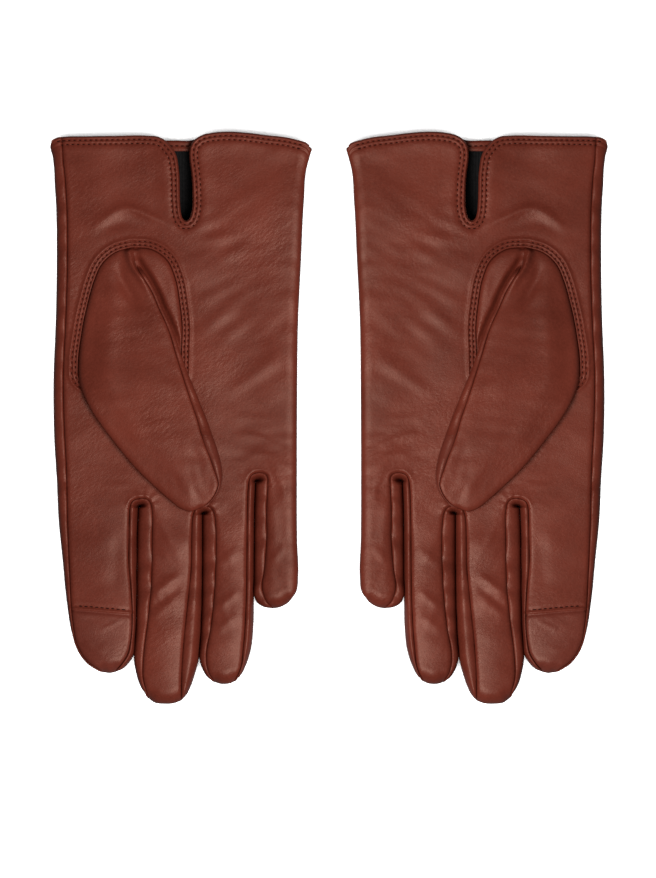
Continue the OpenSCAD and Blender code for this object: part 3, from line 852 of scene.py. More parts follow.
def stitches(paths, height, size):
    """Separate sewing stitches along plan paths, lying on a height function."""
    points, faces = [], []
    around, rings = 6, 4
    turns = [2 * math.pi * k / around for k in range(around)]
    for path in paths:
        end = run_along(path)[-1] - 0.4 * STITCH_PITCH
        places = np.arange(STITCH_PITCH, end, STITCH_PITCH)
        at, after, before = (points_at(path, places + d) for d in (0, 0.3, -0.3))
        ahead = (after - before) / np.linalg.norm(after - before, axis=1)[:, None]
        z = height(at) + STITCH_RISE
        rises = (height(at + 0.4 * ahead) - height(at - 0.4 * ahead)) / 0.8
        for (x, y), (ax, ay), level, rise in zip(at, ahead, z, rises):
            first = len(points)
            along = np.array([ax, ay, rise])
            across = np.array([-ay, ax, 0.0])
            for r in range(rings + 1):
                a = math.pi * (r + 0.5) / (rings + 1)
                for b in turns:
                    points.append(np.array([x, y, level])
                                  + (along * size[0] / 2 * math.cos(a)
                                     + across * size[1] / 2 * math.sin(a) * math.cos(b)
                                     + np.array([0, 0, size[2] / 2 * math.sin(a) * math.sin(b)])))
            for r in range(rings):
                for k in range(around):
                    i, j = first + r * around + k, first + r * around + (k + 1) % around
                    faces.append((i, j, j + around, i + around))
            faces.append(tuple(first + k for k in range(around))[::-1])
            faces.append(tuple(first + rings * around + k for k in range(around)))
    return np.array(points), faces, None


# ---- Objects ----

def to_row_frame(points, hand):
    """Millimetres of the right glove to metres in the row's frame, mirrored for the left glove."""
    side = 1 if hand == "right" else -1
    out = np.array(points, float)
    out[:, 0] = side * (out[:, 0] - GLOVE_CENTRE)
    return out * MM


def corner_normals(mesh, normals):
    """Each face corner's normal: smooth where the face lies along the surface, flat on a cut edge."""
    counts = np.zeros(len(mesh.polygons), int)
    mesh.polygons.foreach_get("loop_total", counts)
    flat = np.zeros(3 * len(mesh.polygons))
    mesh.polygons.foreach_get("normal", flat)
    flat = np.repeat(flat.reshape(-1, 3), counts, axis=0)
    points = np.zeros(len(mesh.loops), int)
    mesh.loops.foreach_get("vertex_index", points)
    soft = normals[points]
    along = (soft * flat).sum(1) > 0.3
    return np.where(along[:, None], soft, flat).tolist()


def glove_piece(hand, name, made, material, slot, nodes, finger):
    """One piece of one glove. A hand piece rides on the hand; a finger or thumb piece stays where it is made
    and does not bend.
    """
    points, faces, normals = made
    mesh = bpy.data.meshes.new(f"{hand}_{name}")
    faces = [tuple(int(i) for i in f) for f in faces]
    if hand == "left":
        faces = [f[::-1] for f in faces]
    mesh.from_pydata(to_row_frame(points, hand).tolist(), [], faces)
    mesh.polygons.foreach_set("use_smooth", [True] * len(mesh.polygons))
    if normals is not None:
        out = np.array(normals)
        if hand == "left":
            out[:, 0] *= -1
        mesh.normals_split_custom_set(corner_normals(mesh, out))
    mesh.materials.append(material)
    obj = bpy.data.objects.new(f"{hand}_{name}_looks", mesh)
    bpy.context.collection.objects.link(obj)
    if finger == "thumb":
        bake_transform(obj)
    elif finger:
        end = hinge_y(finger) - BEND_AFTER
        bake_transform(obj)
    else:
        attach(obj, f"{hand}_hand")
    if nodes:
        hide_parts(*[f"{hand}_{node}" for node in nodes])


# ---- Materials ----

class Nodes:
    """A new material's nodes. An input is given as a value or as the output of another node."""

    def __init__(self, name):
        self.material = bpy.data.materials.new(name)
        self.material.use_nodes = True
        self.tree = self.material.node_tree
        self.place = self.add("TexCoord", {}).outputs["Object"]

    def add(self, kind, inputs, **settings):
        node = self.tree.nodes.new("ShaderNode" + kind)
        for key, value in settings.items():
            setattr(node, key, value)
        self.set(node, inputs)
        return node

    def set(self, node, inputs):
        for key, value in inputs.items():
            if isinstance(value, bpy.types.NodeSocket):
                self.tree.links.new(value, node.inputs[key])
            else:
                node.inputs[key].default_value = value

    def noise(self, scale, detail=2.0, roughness=0.5, distortion=0.0):
        inputs = {"Vector": self.place, "Scale": scale, "Detail": detail, "Roughness": roughness,
                  "Distortion": distortion}
        return self.add("TexNoise", inputs).outputs["Fac"]

    def ramp(self, value, dark, light, start=0.0):
        """A colour between dark and light."""
        node = self.add("ValToRGB", {"Fac": value})
        low, high = node.color_ramp.elements
        low.position = start
        low.color = (*dark, 1)
        high.color = (*light, 1)
        return node.outputs["Color"]

    def finish(self, inputs):
        self.set(self.tree.nodes["Principled BSDF"], inputs)
        return self.material


def leather_material(name, dark, light, roughness):
    """Fine-grained glove leather: mottled dye, a pebbled grain and faint creases."""
    nodes = Nodes(name)
    mottle = nodes.noise(32.0, 5.0, 0.6)
    speck = nodes.noise(1100.0, 2.0, 0.6)
    pebbles = nodes.add("TexVoronoi", {"Vector": nodes.place, "Scale": 3200.0, "Randomness": 1.0})
    fine_creases = nodes.noise(1500.0, 3.0, 0.65)
    soft_creases = nodes.noise(210.0, 4.0, 0.6, 0.5)

    # Fine slanting creases that come and go over the hide.
    slant = nodes.add("Mapping", {}, vector_type="TEXTURE")
    nodes.set(slant, {"Vector": nodes.place, "Rotation": (0, 0, math.radians(38)), "Scale": (1.8, 1.0, 1.0)})
    streaks = nodes.add("TexNoise", {"Vector": slant.outputs["Vector"], "Scale": 800.0, "Detail": 3.0,
                                     "Roughness": 0.6})
    patches = nodes.add("MapRange", {"Value": nodes.noise(38.0, 2.0), "From Min": 0.42, "From Max": 0.66,
                                     "To Min": 0.15})
    streaked = nodes.add("Math", {0: streaks.outputs["Fac"], 1: patches.outputs["Result"]},
                         operation="MULTIPLY")

    dye = nodes.add("Math", {0: speck, 1: 0.5, 2: mottle}, operation="MULTIPLY_ADD")
    gloss = nodes.add("MapRange", {"Value": soft_creases, "To Min": roughness - 0.08,
                                   "To Max": roughness + 0.10})
    normal = None
    for source, strength, depth in ((pebbles.outputs["Distance"], 0.6, 0.00005), (fine_creases, 0.5, 0.00010),
                                    (soft_creases, 0.4, 0.00012), (streaked.outputs[0], 0.8, 0.00024)):
        bump = nodes.add("Bump", {"Strength": strength, "Distance": depth, "Height": source})
        if normal:
            nodes.set(bump, {"Normal": normal})
        normal = bump.outputs["Normal"]
    return nodes.finish({
        "Base Color": nodes.ramp(dye.outputs[0], dark, light, 0.50), "Roughness": gloss.outputs["Result"],
        "Normal": normal, "Specular IOR Level": 0.25, "Specular Tint": (1.0, 0.66, 0.52, 1)})


def knit_material(name):
    """Black knitted lining with fine upright ribs."""
    nodes = Nodes(name)
    rib = nodes.add("TexWave", {"Vector": nodes.place, "Scale": 260.0, "Distortion": 1.2, "Detail": 2.0,
                                "Detail Scale": 3.0}, bands_direction="X")
    bump = nodes.add("Bump", {"Strength": 0.7, "Distance": 0.0004, "Height": rib.outputs["Color"]})
    color = nodes.ramp(nodes.noise(900.0, 4.0), (0.0016, 0.0015, 0.0015), (0.011, 0.010, 0.010))
    return nodes.finish({"Base Color": color, "Normal": bump.outputs["Normal"], "Roughness": 0.95,
                         "Specular IOR Level": 0.1})


def thread_with_painted_shade_material(name):
    """Sewing thread, coloured much darker than the leather as painted shade for the shadowed stitch holes."""
    nodes = Nodes(name)
    # The near-black colour is mostly painted shade, standing in for the shadow in the stitch holes.
    color = nodes.ramp(nodes.noise(3000.0), (0.006, 0.0014, 0.001), (0.018, 0.0045, 0.003))
    return nodes.finish({"Base Color": color, "Roughness": 0.95, "Specular IOR Level": 0.05})


LEATHER_BROWN = leather_material("glove_leather", (0.078, 0.0118, 0.0062), (0.132, 0.0232, 0.0132), 0.38)
PAD_BROWN = leather_material("pad_leather", (0.076, 0.0130, 0.0076), (0.124, 0.0245, 0.0152), 0.36)
KNIT = knit_material("lining_knit")
THREAD_WITH_PAINTED_SHADE = thread_with_painted_shade_material("thread")


# ---- The pieces of one glove ----

BACK_SEAMS = []     # back edges of all the side strips, filled in below


def vent_lift(p):
    """The back stands up a little towards the open vent."""
    return 3.0 * np.exp(-((p[:, 0] - 1.5) / 16) ** 2) * step((p[:, 1] - 90) / 20)


def smooth_back_height(p):
    """The back leather: flat on the surface, curling up a little to the strips' edges and the cuff."""
    z = BACK_Z + 0.5 * (1 - step(near(p, CUFF_BACK, 9.0) / 9.0)) + vent_lift(p)
    z += 0.10 * (1 + waves(p, 30, 20, 90, 11)) + 0.03 * waves(p, 9, 80, 60, 12)
    for line in BACK_SEAMS:
        z += 0.9 * (1 - round_edge(near(p, line, 3.0), 3.0))
    for tip in TIPS.values():
        z = EDGE_Z + (z - EDGE_Z) * round_edge(near(p, tip, 5.0), 5.0)
    return np.maximum(z, 0.12)


def back_height(p):
    """The back leather with the ridges of its hem."""
    return np.maximum(smooth_back_height(p) - BACK_HEM * vent_ridges(near(p, CUFF_BACK, 10)), 0.05)


INSET_WEB = 2.0     # how far a strip runs in under the back: between fingers
INSET_FOLD = 3.6    # and at the glove's two sides


def plan_back_lines():
    """The back edges of the strips, in plan, by name."""
    edges = {"left_hand": (LEFT_HAND, SIDE_SEAM_HAND, INSET_FOLD),
             "right_hand": (RIGHT_HAND, FOLD_HAND, INSET_FOLD),
             ("index", -1): (LEFT_INDEX, SIDE_SEAM_INDEX, INSET_FOLD),
             ("pinky", 1): (RIGHT_PINKY, FOLD_PINKY, INSET_FOLD)}
    for finger in FINGERS[1:]:
        edges[(finger, -1)] = (WIDE_LEFT[finger], FRONT_LEFT[finger], INSET_WEB)
    for finger in FINGERS[:3]:
        edges[(finger, 1)] = (WIDE_RIGHT[finger], FRONT_RIGHT[finger], INSET_WEB)
    lines = {name: back_line(matched(wide, seam), seam, inset) for name, (wide, seam, inset) in edges.items()}
    for i in range(3):
        lines[("crotch", i)] = back_line(pit_path(i), WEB_PARTS[i][1], INSET_WEB)
    return lines


BACK_LINES = plan_back_lines()
BACK_SEAMS.extend(BACK_LINES.values())


def start_line(finger, left, right):
    """The line across a finger where it starts, without its two ends."""
    y = START[finger]
    return resample(np.array([(left, y), (right, y)]), 1 + max(4, int((right - left) / 0.9)))[1:-1]


def past_the_fingers(loop, crotches, last):
    """Carries an outline on past the finger starts and crotches, then back along its last edge."""
    for i in (2, 1, 0):
        crotch = crotches[i][::-1]
        loop += [start_line(FINGERS[i + 1], crotch[0][0], loop[-1][-1][0])[::-1], crotch]
    loop += [start_line("index", last[-1][0], loop[-1][-1][0])[::-1], last[::-1][:-1]]
    return np.vstack(loop)


def x_crossing(path, x, last=False):
    """Where the path first or last crosses the line at x."""
    d = path[:, 0] - x
    at = np.flatnonzero(d[:-1] * d[1:] <= 0)
    i = at[-1] if last else at[0]
    return i + d[i] / (d[i] - d[i + 1])


def palm_outline():
    """The palm leather's outline, from the side seam along the cuff and back past the finger starts."""
    start, end = x_crossing(CUFF_FRONT, SIDE_SEAM[0][0]), x_crossing(CUFF_FRONT, FOLD_LINE[0][0], True)
    cuff = part(CUFF_FRONT, start, end)
    return past_the_fingers([cuff, FOLD_HAND[1:]], [parts[1] for parts in WEB_PARTS], SIDE_SEAM_HAND)


def hand_back_outline():
    """The outline of the hand's back leather, between the back edges of the strips."""
    left, right = BACK_LINES["left_hand"], BACK_LINES["right_hand"]
    edge = CUFF_BACK[(CUFF_BACK[:, 0] > left[0][0] + 0.4) & (CUFF_BACK[:, 0] < right[0][0] - 0.4)]
    return past_the_fingers([left[:1], edge, right], [BACK_LINES[("crotch", i)] for i in range(3)], left)


def finger_outline(finger, left, right):
    """A finger's outline between its two long edges, closed over its tip."""
    line = start_line(finger, left[0][0], right[0][0])
    return np.vstack([line, right, TIPS[finger][::-1][1:-1], left[::-1]])


def split_loop(loop, line, above):
    """The part of a loop above or below a nearly level line, closed along it."""
    cut_y = np.interp(loop[:, 0], line[:, 0], line[:, 1])
    keep = loop[:, 1] > cut_y if above else loop[:, 1] < cut_y
    first = next(i for i in range(len(loop)) if keep[i] and not keep[i - 1])
    kept = np.roll(loop, -first, axis=0)[:keep.sum()]
    a, b = kept[0], kept[-1]
    seam = line[(line[:, 0] > min(a[0], b[0]) - 0.3) & (line[:, 0] < max(a[0], b[0]) + 0.3)]
    if np.linalg.norm(seam[0] - b) > np.linalg.norm(seam[-1] - b):
        seam = seam[::-1]
    return np.vstack([kept, seam])


# ---- Thumb ----

thumb_top_line = profile((-60, 17.9), (-39, 17.9), (-25, 18.1), (-10, 18.0), (10, 17.2), (25, 16.0),
                         (45, 14.2), (58, 13.3), (66, 12.7), (69.5, 12.4), (80, 12.4))
THUMB_FOLD = smooth([
    (-20.8, 70.2), (-20.3, 66.5), (-19.2, 63.1), (-17.6, 60.2), (-15.6, 57.2), (-13.4, 53.3),
    (-10.6, 47)])


def thumb_edge(p):
    """Height of the thumb's left edge: sewn down in the hole, then free."""
    return HOLE_Z + (THUMB_MIDDLE_Z - HOLE_Z) * step((17.5 - p[:, 1]) / 13)


def gap_floor(p):
    """The bottom of the gap beside the thumb's fold, rising at the top of the hole."""
    return GAP_Z + (GAP_TOP_Z - GAP_Z) * step((p[:, 1] - 63.5) / 3.5) * step(near(p, HOLE, 3.0) / 1.5)


def thumb_height(p):
    """The thumb's palm side, which lies over the palm."""
    y = p[:, 1]
    top = thumb_top_line(y) + 0.18 * waves(p, 26, 50, 60, 21) + 0.05 * waves(p, 8, 60, 60, 22)
    top += 0.05 * waves(p, 5, 10, 25, 23) * blob(p, 6, -27, 12, 8)
    top -= crease(p, [(4, -8), (7, -16), (9, -24)], 0.2, 2.0)
    # The root is drawn into a fold at the top of the hole, with a hollow beside it.
    top -= crease(p, [(-25.5, 67), (-24.2, 58.5), (-20, 50), (-15, 42)], 1.1, 2.2)
    top += crease(p, [(-29, 64), (-28.5, 54), (-26, 44)], 0.2, 2.4)
    edge = thumb_edge(p)
    d = near(p, THUMB_LEFT, 13.0)
    z = edge + (top - edge) * (0.6 * round_edge(d, 2.6) + 0.4 * step(d / 13))
    fold, along = nearest(p, THUMB_FOLD, 6.0)
    z += 2.1 * np.exp(-(fold / 1.6) ** 2) * step(d / 1.0) * step((length(THUMB_FOLD) - along) / 16)
    # The seam beside the fold lies deep at the top of the hole and comes up to the surface further down.
    deep = step((y - 57.5) / 5)
    low = z - 0.75 + (gap_floor(p) + 0.1 - z + 0.75) * deep
    z = low + (z - low) * round_edge(near(p, THUMB_SEAM, 2.2), 2.2)
    return np.maximum(z, np.minimum(edge, low))


def thumb_right_edge_z(p):
    """Height of the thumb's right edge, where it is widest."""
    return np.minimum(THUMB_MIDDLE_Z, 0.55 * thumb_top_line(p[:, 1]) + 0.45 * THUMB_UNDER_Z)


THUMB_INSET = 3.4
THUMB_BACK_LINE = back_line(matched(THUMB_RIGHT, THUMB_SEAM), THUMB_SEAM, THUMB_INSET)


def under_height(p):
    """Under the thumb: from the hole's lower edge down along the free stall."""
    z = THUMB_UNDER_Z + 0.08 * waves(p, 12, 45, 60, 31)
    low = HOLE_Z - 0.1
    z = low + (z - low) * round_edge(near(p, HOLE, 8.0), 8.0)
    edge = thumb_edge(p)
    return edge + (z - edge) * round_edge(near(p, THUMB_LEFT, 4.5), 4.5)


def gusset_height(p):
    """The leather inside the hole, beside the thumb's fold: a soft ridge that falls into the gap."""
    z = HOLE_Z + 1.7 * round_edge(near(p, HOLE, 3.2), 3.2)
    z += (crease(p, [(-17.5, 69), (-13, 63.5), (-6.8, 52), (-3, 42)], 0.4, 1.8)
          + 0.05 * waves(p, 9, 30, 60, 41))
    out = p[:, 0] - np.interp(-p[:, 1], -THUMB_RIGHT[:, 1], THUMB_RIGHT[:, 0])
    away = np.where(out > 0, near(p, THUMB_RIGHT, 4.0), 0)
    low = gap_floor(p)
    return low + (z - low) * step((away - 0.15) / 2.4)


# The thumb's back line passes over the hole's edge here: above it the gusset joins, below it the underside.
MEETING = int(np.argmin(np.abs(THUMB_BACK_LINE[:, 1] - 19.0)))
JUNCTION = THUMB_BACK_LINE[MEETING]


def gusset_outline():
    """The leather inside the hole, between the thumb's back line and the hole's right edge."""
    right = HOLE[len(HOLE) // 2:]
    right = right[right[:, 1] > JUNCTION[1] + 0.5]
    return np.vstack([THUMB_BACK_LINE[2:MEETING + 1][::-1], HOLE[-1:] + [[0.6, -0.6]], right[::-1][1:]])


def underside_outline():
    """The thumb's underside, from the hole's lower edge to the tip."""
    bottom = HOLE[(HOLE[:, 1] < 18.4) & (HOLE[:, 0] > -41.5)]
    free = THUMB_LEFT[THUMB_LEFT[:, 1] < bottom[0][1] - 0.4]
    return np.vstack([bottom, THUMB_BACK_LINE[MEETING:-1], free[::-1]])


def thumb_under_join(p):
    """The height of the strip's back edge: on the gusset above the junction, on the underside below it."""
    return np.where(p[:, 1] > JUNCTION[1], gusset_height(p), under_height(p))


# ---- Lining ----

LINING = 0.4            # thickness of the knit
LINING_GRID = 2.4


def joined(*sheets):
    """Several sheets as one piece."""
    points, faces, normals = [], [], []
    for p, f, n in sheets:
        first = sum(len(earlier) for earlier in points)
        faces += [tuple(int(i) + first for i in face) for face in f]
        points.append(p)
        normals.append(n)
    return np.vstack(points), faces, np.vstack(normals)


def lining_sheets(outline, top, bottom, top_loops=None):
    """A lining's upper and lower sheet. top_loops are the upper one's own loops, where it has openings."""
    rings = [(closed(outline), (0.3, 1.0))]
    upper = height_sheet(top_loops or [outline], top, LINING_GRID, rings, thickness=LINING)
    return joined(upper, height_sheet([outline], bottom, LINING_GRID, rings, under=True, thickness=LINING))


def tube_lining(outline, open_y, low, high, middle, reach=4.0):
    """A flattened tube of knit: two sheets that meet round the edge, open above open_y."""
    edge = outline[outline[:, 1] < open_y - 0.01]

    def sheet(level):
        return lambda p: middle + (level(p) - middle) * round_edge(near(p, edge, reach), reach)

    return lining_sheets(outline, sheet(high), sheet(low))


def shrunk(outline, inset):
    """An outline moved inwards, roughly, by pushing each point away from its edge."""
    loop = closed(outline)
    x, y = outline.T
    area = 0.5 * np.sum(x * np.roll(y, -1) - np.roll(x, -1) * y)
    moved = outline + (inset if area > 0 else -inset) * sides(loop)[:-1]
    moved = moved[(near(moved, loop, inset + 1) > 0.93 * inset) & inside(moved, outline)]
    return evenly(closed(moved), 1.6)[:-1]


def finger_lining(finger):
    outline = np.vstack([WIDE_RIGHT[finger], TIPS[finger][::-1][1:-1], WIDE_LEFT[finger][::-1]])
    inner = shrunk(outline, 2.6)
    inner = inner[inner[:, 1] < START[finger] - 0.5]
    return tube_lining(inner, START[finger] - 2.0, lambda p: 1.7, lambda p: PALM_Z - 2.4, EDGE_Z)


def thumb_lining():
    outline = np.vstack([THUMB_RIGHT[THUMB_RIGHT[:, 1] < 13], THUMB_LEFT[THUMB_LEFT[:, 1] < 13][::-1]])
    return tube_lining(shrunk(outline, 2.4), 11, lambda p: THUMB_UNDER_Z + 0.9,
                       lambda p: thumb_height(p) - 1.3, THUMB_MIDDLE_Z)


def hand_lining():
    """The lining of the hand, with its own vent and thumb hole in the palm side."""
    mouth_y = 110.0
    left = LEFT_HAND[LEFT_HAND[:, 1] < mouth_y - 0.2] + [2.2, 0]
    right = RIGHT_HAND[RIGHT_HAND[:, 1] < mouth_y - 0.2] - [2.2, 0]
    # The lower edge stays inside the hand, above and between the three crotches.
    low = np.array([
        (right[-1][0], -26), (37.2, -25.5), (36.2, -20.6), (31.2, -19.3), (26.2, -20.6), (25, -32.5),
        (14.8, -34), (3.8, -34), (-9.5, -32.5), (-11, -31), (-16.5, -30.6), (-22, -31.2), (-23.2, -36),
        (left[-1][0], -36)])
    mouth = np.array([(x, mouth_y) for x in np.arange(-48, 50, 2.0)])
    outline = np.vstack([left[:1], mouth, right, evenly(low, 2.0)[1:-1], left[::-1][:-1]])
    edges = [side[side[:, 1] < 106] for side in (left, right)]

    def shell(p, far):
        d = np.minimum(*(near(p, edge, 5.0) for edge in edges))
        return EDGE_Z + (far - EDGE_Z) * round_edge(d, 5.0)

    def top(p):
        return shell(p, palm_base(p) - 1.7)

    def bottom(p):
        return shell(p, 1.25 + vent_lift(p) + 0.1 * waves(p, 14, 10, 60, 51))

    vent = CUFF_FRONT[(CUFF_FRONT[:, 0] > -4.5) & (CUFF_FRONT[:, 0] < 8.5)]
    hole = HOLE[:-1] + (np.array([-20, 42]) - HOLE[:-1]) * 0.04
    return lining_sheets(outline, top, bottom, [cut_notch(outline, vent - 2.0 * sides(vent)), hole])


def cut_notch(outline, notch):
    """An outline whose top edge takes in the notch's path."""
    top = outline[:, 1].max()
    notch = notch[notch[:, 1] < top - 0.5]
    edge = np.flatnonzero(np.abs(outline[:, 1] - top) < 0.01)
    before = edge[outline[edge][:, 0] < notch[0][0] - 0.5]
    after = edge[outline[edge][:, 0] > notch[-1][0] + 0.5]
    return np.vstack([outline[:before[-1] + 1], notch, outline[after[0]:]])


# ---- Facing: the leather turned into the mouth ----

FACING_END_Y = 109.2
FACING_Z = 2.25
# Across the turned edge at the front: distance in from the edge and drop below the palm's level.
FRONT_TURN = ((-0.05, 0.75), (-0.12, 1.0), (0.1, 1.45), (0.6, 1.65), (1.6, 1.7), (3.2, 1.75), (5.0, 1.8))
# Across the hem inside the back: share of the way in and rise. The stitches lie in the dip at the middle.
BACK_TURN = ((0.0, 0.35), (-0.03, 0.75), (0.04, 1.3), (0.14, 1.62), (0.3, 1.68), (0.42, 1.42), (0.5, 1.3),
             (0.58, 1.42), (0.72, 1.66), (0.88, 1.6), (1.0, 1.35))


def facing_sheet(columns, up):
    """A sheet through paths that run side by side, facing up or down."""
    grid = np.stack(columns, 1)
    points = grid.reshape(-1, 3)
    faces = grid_faces(*grid.shape[:2])
    normals = vertex_normals(points, faces)
    if (normals[:, 2].sum() > 0) != up:
        normals = -normals
        faces = faces[:, ::-1]
    return thicken(points, faces, normals, 0.5)


def facing():
    """Leather turned in along the front edge, and the hem inside the back edge."""
    edge, back = CUFF_FRONT[4:-4], CUFF_BACK[1:-1]
    front, hem = [], []
    for inwards, drop in FRONT_TURN:
        flat = edge - sides(edge) * inwards
        front.append(np.column_stack([flat, palm_base(flat) - drop]))
    for share, rise in BACK_TURN:
        flat = np.column_stack([back[:, 0], back[:, 1] - share * (back[:, 1] - FACING_END_Y)])
        hem.append(np.column_stack([flat, FACING_Z - 1.68 + rise + vent_lift(flat)]))
    return joined(facing_sheet(front, False), facing_sheet(hem, True))


def hem_height(p):
    return FACING_Z - 0.32 + vent_lift(p)


HEM_STITCH_LINE = np.column_stack([CUFF_BACK[2:-2, 0], 0.5 * (CUFF_BACK[2:-2, 1] + FACING_END_Y)])


# ---- One glove ----

# Distances from the cuff's edge, front and back, at which rows of points follow it.
CUFF_ROWS = (0.1, 0.25, 0.45, 0.7, 0.95, 1.2, 1.38, 1.55, 1.75, 2.0, 2.3, 2.65, 2.85, 3.05, 3.25, 3.5,
             4.0, 4.5)
HEM_ROWS = (0.15, 0.4, 0.7, 1.05, 1.4, 1.75, 2.1, 2.5, 2.9, 3.3, 3.8)
LEATHER_LOOK = (LEATHER_BROWN, "glove_leather")
PAD_LOOK = (PAD_BROWN, "pad_leather")
KNIT_LOOK = (KNIT, "lining_knit")
THREAD_WITH_PAINTED_SHADE_LOOK = (THREAD_WITH_PAINTED_SHADE, "thread")


def hand_pieces(add):
    """The leather of the hand: palm, back, both sides and the three crotches."""
    palm, back = palm_outline(), hand_back_outline()
    starts = list(START.values())
    rings = [(CUFF_FRONT, CUFF_ROWS), (HOLE, CUFF_ROWS), (closed(palm), STANDARD_ROWS)]
    add("palm", height_sheet([palm, HOLE[:-1][::-1]], palm_height, 1.1, rings, joins=starts),
        ("trank", "vent_binding"))
    rings = [(CUFF_BACK, HEM_ROWS), (closed(back), STANDARD_ROWS)]
    add("hand_back", height_sheet([back], back_height, 1.8, rings, under=True, joins=starts))
    levels = (smooth_palm_height, smooth_back_height, INSET_FOLD)
    grid = strip(SIDE_SEAM_HAND, LEFT_HAND, *levels, **INDEX_SIDE_WALL, puff=0.2, seed=61)
    add("index_side_wrap", strip_sheet(hemmed(grid, CUFF_FRONT[:60], CUFF_BACK)))
    grid = strip(FOLD_HAND, RIGHT_HAND, *levels, **FOLD_WALL)
    add("pinky_side_wrap", strip_sheet(hemmed(grid, CUFF_FRONT[-60:], CUFF_BACK), palm_height))
    for i in range(3):
        add(f"crotch_{i + 1}", strip_sheet(crotch_wall(i)), () if i else ("fourchette_forks",))


def finger_pieces(add):
    """Each finger's front, back and lining, the strips between the fingers and the two outer sides."""
    for finger in FINGERS:
        outline = finger_outline(finger, FRONT_LEFT[finger], FRONT_RIGHT[finger])
        start = [START[finger]]
        if finger == "index":
            line = smooth(INDEX_PAD_LINE, 0.7)
            pad = height_sheet([split_loop(outline, line, False)], pad_height, 1.0)
            outline = split_loop(outline, line, True)
        front = height_sheet([outline], palm_height, 1.0, joins=start)
        add(f"{finger}_front", front, (f"{finger}_shell",), finger)
        if finger == "index":
            add("index_touch_pad", pad, ("index_touch_pad",), finger, PAD_LOOK)
        outline = finger_outline(finger, BACK_LINES[(finger, -1)], BACK_LINES[(finger, 1)])
        add(f"{finger}_back", height_sheet([outline], back_height, 1.6, under=True, joins=start), (), finger)
        add(f"{finger}_lining", finger_lining(finger), (f"{finger}_lining",), finger, KNIT_LOOK)

    levels = (palm_height, back_height)
    for number, finger in enumerate(FINGERS[1:], 1):
        name = f"{finger}_fourchette_thumb_side"
        grid = strip(FRONT_LEFT[finger], WIDE_LEFT[finger], *levels, INSET_WEB, **THUMB_SIDE_WALL,
                     puff=0.3, seed=70 + number)
        add(name, strip_sheet(grid), (name,), finger)
    for number, finger in enumerate(FINGERS[:3]):
        name = f"{finger}_fourchette_pinky_side"
        grid = strip(FRONT_RIGHT[finger], WIDE_RIGHT[finger], *levels, INSET_WEB, **PINKY_SIDE_WALLS[finger],
                     puff=0.15, seed=80 + number)
        add(name, strip_sheet(grid), (name,), finger)
    grid = strip(SIDE_SEAM_INDEX, LEFT_INDEX, *levels, INSET_FOLD, **INDEX_SIDE_WALL, puff=0.2, seed=61)
    add("index_outer_wrap", strip_sheet(grid), (), "index")
    grid = strip(FOLD_PINKY, RIGHT_PINKY, *levels, INSET_FOLD, **FOLD_WALL)
    add("pinky_outer_wrap", strip_sheet(grid, palm_height), (), "pinky")


def thumb_side_grids():
    """The strip along the thumb's right side, split where its touch pad starts: the upper part, the pad."""
    grid = strip(THUMB_SEAM, THUMB_RIGHT, thumb_height, thumb_under_join, THUMB_INSET, 0.8, 0.3, 1.0,
                 edge_z=thumb_right_edge_z(THUMB_SEAM), puff=0.12, seed=95)
    split = int(np.argmin(np.abs(THUMB_SEAM[:, 1] - THUMB_PAD_Y)))
    run = run_along(THUMB_SEAM) - run_along(THUMB_SEAM)[split]
    # At the top of the hole the strip lies down in the gap, behind the fold.
    grid[:, :, 2] -= 1.1 * step((THUMB_SEAM[:, 1:] - 59.5) / 3.5)
    upper, lower = grid[:split + 1].copy(), grid[split:].copy()
    # The upper part laps over the pad.
    upper[:, :-6, 2] += 0.4 * np.exp(-(run[:split + 1, None] / 1.1) ** 2)
    lower[:, :-6, 2] -= 0.45 * np.exp(-(run[split:, None] / 1.6) ** 2)
    return upper, lower


def thumb_pieces(add):
    front = np.vstack([THUMB_LEFT[:-1], THUMB_SEAM[::-1]])
    add("thumb_front", height_sheet([front], thumb_height, 1.0), ("thumb_front",), "thumb")
    upper, lower = thumb_side_grids()
    add("thumb_side_strip", strip_sheet(upper), ("thumb_back",), "thumb")
    add("thumb_touch_pad_side", strip_sheet(lower), ("thumb_touch_pad",), "thumb", PAD_LOOK)
    add("thumb_underside", height_sheet([underside_outline()], under_height, 1.6, under=True), (), "thumb")
    add("thumb_gusset", height_sheet([gusset_outline()], gusset_height, 0.9), ("thumb_gusset",))
    add("thumb_lining", thumb_lining(), ("thumb_lining",), "thumb", KNIT_LOOK)


def stitch_pieces(add):
    pad_line = smooth(INDEX_PAD_LINE, 0.7)[2:-1] + [0, 1.55]
    for name, lines, height, size, nodes, finger in (
            ("vent_stitches", VENT_STITCH_LINES, cuff_height, SADDLE_STITCH, ("vent_stitching",), None),
            ("thumb_hole_stitches", HOLE_STITCH_LINES, palm_height, SADDLE_STITCH,
             ("thumb_hole_stitching",), None),
            ("hem_stitches", [HEM_STITCH_LINE], hem_height, HEM_STITCH, (), None),
            ("side_seam_stitches", [SIDE_SEAM_HAND[4:]], palm_height, SEAM_STITCH,
             ("side_seam_stitching",), None),
            ("index_pad_stitches", [pad_line], palm_height, SADDLE_STITCH,
             ("index_pad_stitching",), "index")):
        add(name, stitches(lines, height, size), nodes, finger, THREAD_WITH_PAINTED_SHADE_LOOK)


def make_gloves():
    """Both gloves, piece by piece: each piece's mesh is made once, for the right glove."""
    def add(name, made, nodes=(), finger=None, look=LEATHER_LOOK):
        for hand in ("right", "left"):
            glove_piece(hand, name, made, *look, nodes, finger)

    hand_pieces(add)
    finger_pieces(add)
    thumb_pieces(add)
    add("hand_lining", hand_lining(), ("hand_lining",), None, KNIT_LOOK)
    add("cuff_facing", facing(), ("cuff_facing",))
    stitch_pieces(add)


# ---- Camera, floor and light ----

WORLD_LIGHT = 0.22
KEY_POWER = 63.0
KEY_SIZE = (1.25, 1.05)
FLOOR_HALF = 4


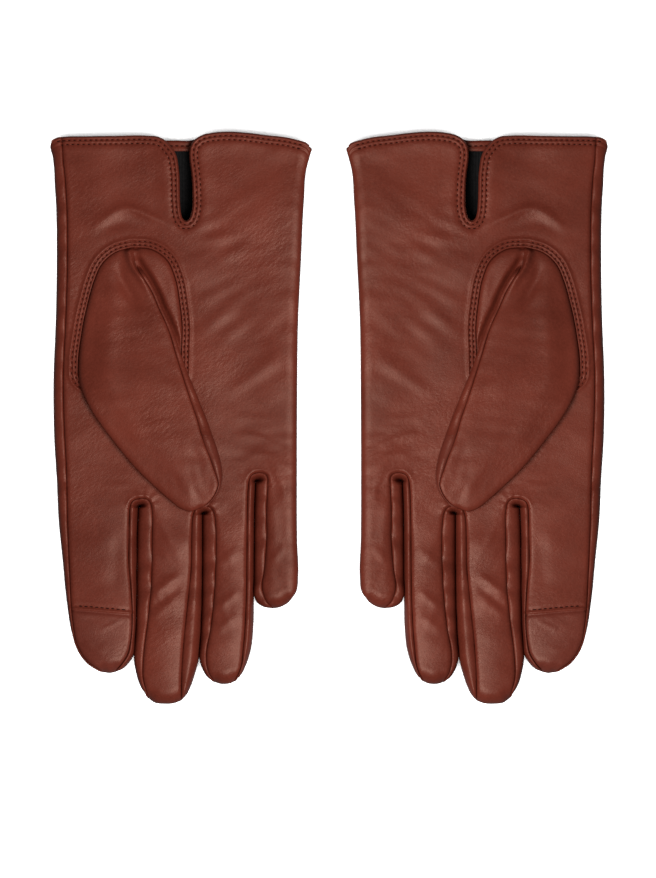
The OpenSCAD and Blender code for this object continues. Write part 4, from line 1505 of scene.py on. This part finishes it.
def make_camera():
    """Straight above the pair with a long lens; the picture's upper edge is towards the cuffs."""
    data = bpy.data.cameras.new("camera")
    camera = bpy.data.objects.new("camera", data)
    bpy.context.collection.objects.link(camera)
    height = 2.5
    seen = 0.360
    data.sensor_width = 36.0
    data.lens = data.sensor_width * height / seen
    camera.location = (-0.0004, -0.0086, height)
    bpy.context.scene.camera = camera


def area_light(name, place, size, power):
    """A soft box that faces the middle of the pair."""
    data = bpy.data.lights.new(name, "AREA")
    data.shape = "RECTANGLE"
    data.size, data.size_y = size
    data.energy = power
    light = bpy.data.objects.new(name, data)
    bpy.context.collection.objects.link(light)
    light.location = place
    light.rotation_mode = "QUATERNION"
    light.rotation_quaternion = light.location.to_track_quat("Z", "Y")
    return light


def shine_on(light, hand, floor):
    """Lets a light fall on one glove and the floor only.
    In the photograph each glove is lit from the other's side."""
    lit = bpy.data.collections.new(f"lit_by_{light.name}")
    lit.objects.link(floor)
    for obj in bpy.data.objects:
        if obj.type == "MESH" and obj.name.startswith(hand):
            lit.objects.link(obj)
    light.light_linking.receiver_collection = lit


def make_floor():
    mesh = bpy.data.meshes.new("floor")
    corners = [(x * FLOOR_HALF, y * FLOOR_HALF, 0) for x, y in ((-1, -1), (1, -1), (1, 1), (-1, 1))]
    mesh.from_pydata(corners, [], [(0, 1, 2, 3)])
    floor = bpy.data.objects.new("floor", mesh)
    bpy.context.collection.objects.link(floor)
    mesh.materials.append(Nodes("white_floor").finish({
        "Base Color": (0.95, 0.95, 0.95, 1), "Roughness": 0.9, "Specular IOR Level": 0.1,
        "Emission Color": (1, 1, 1, 1), "Emission Strength": 0.28}))
    # The floor's bounce would wash out the gloves' edges, which are dark in the photograph.
    floor.visible_diffuse = False
    floor.visible_glossy = False
    return floor


def make_stage():
    floor = make_floor()
    world = bpy.data.worlds.new("studio")
    bpy.context.scene.world = world
    world.use_nodes = True
    background = world.node_tree.nodes["Background"]
    background.inputs["Color"].default_value = (1, 1, 1, 1)
    background.inputs["Strength"].default_value = WORLD_LIGHT
    for hand, x in (("right", 0.74), ("left", -0.74)):
        shine_on(area_light(f"key_for_{hand}", (x, -0.56, 1.95), KEY_SIZE, KEY_POWER), hand, floor)
    bpy.context.scene.view_settings.view_transform = "Standard"


make_camera()
make_gloves()
make_stage()
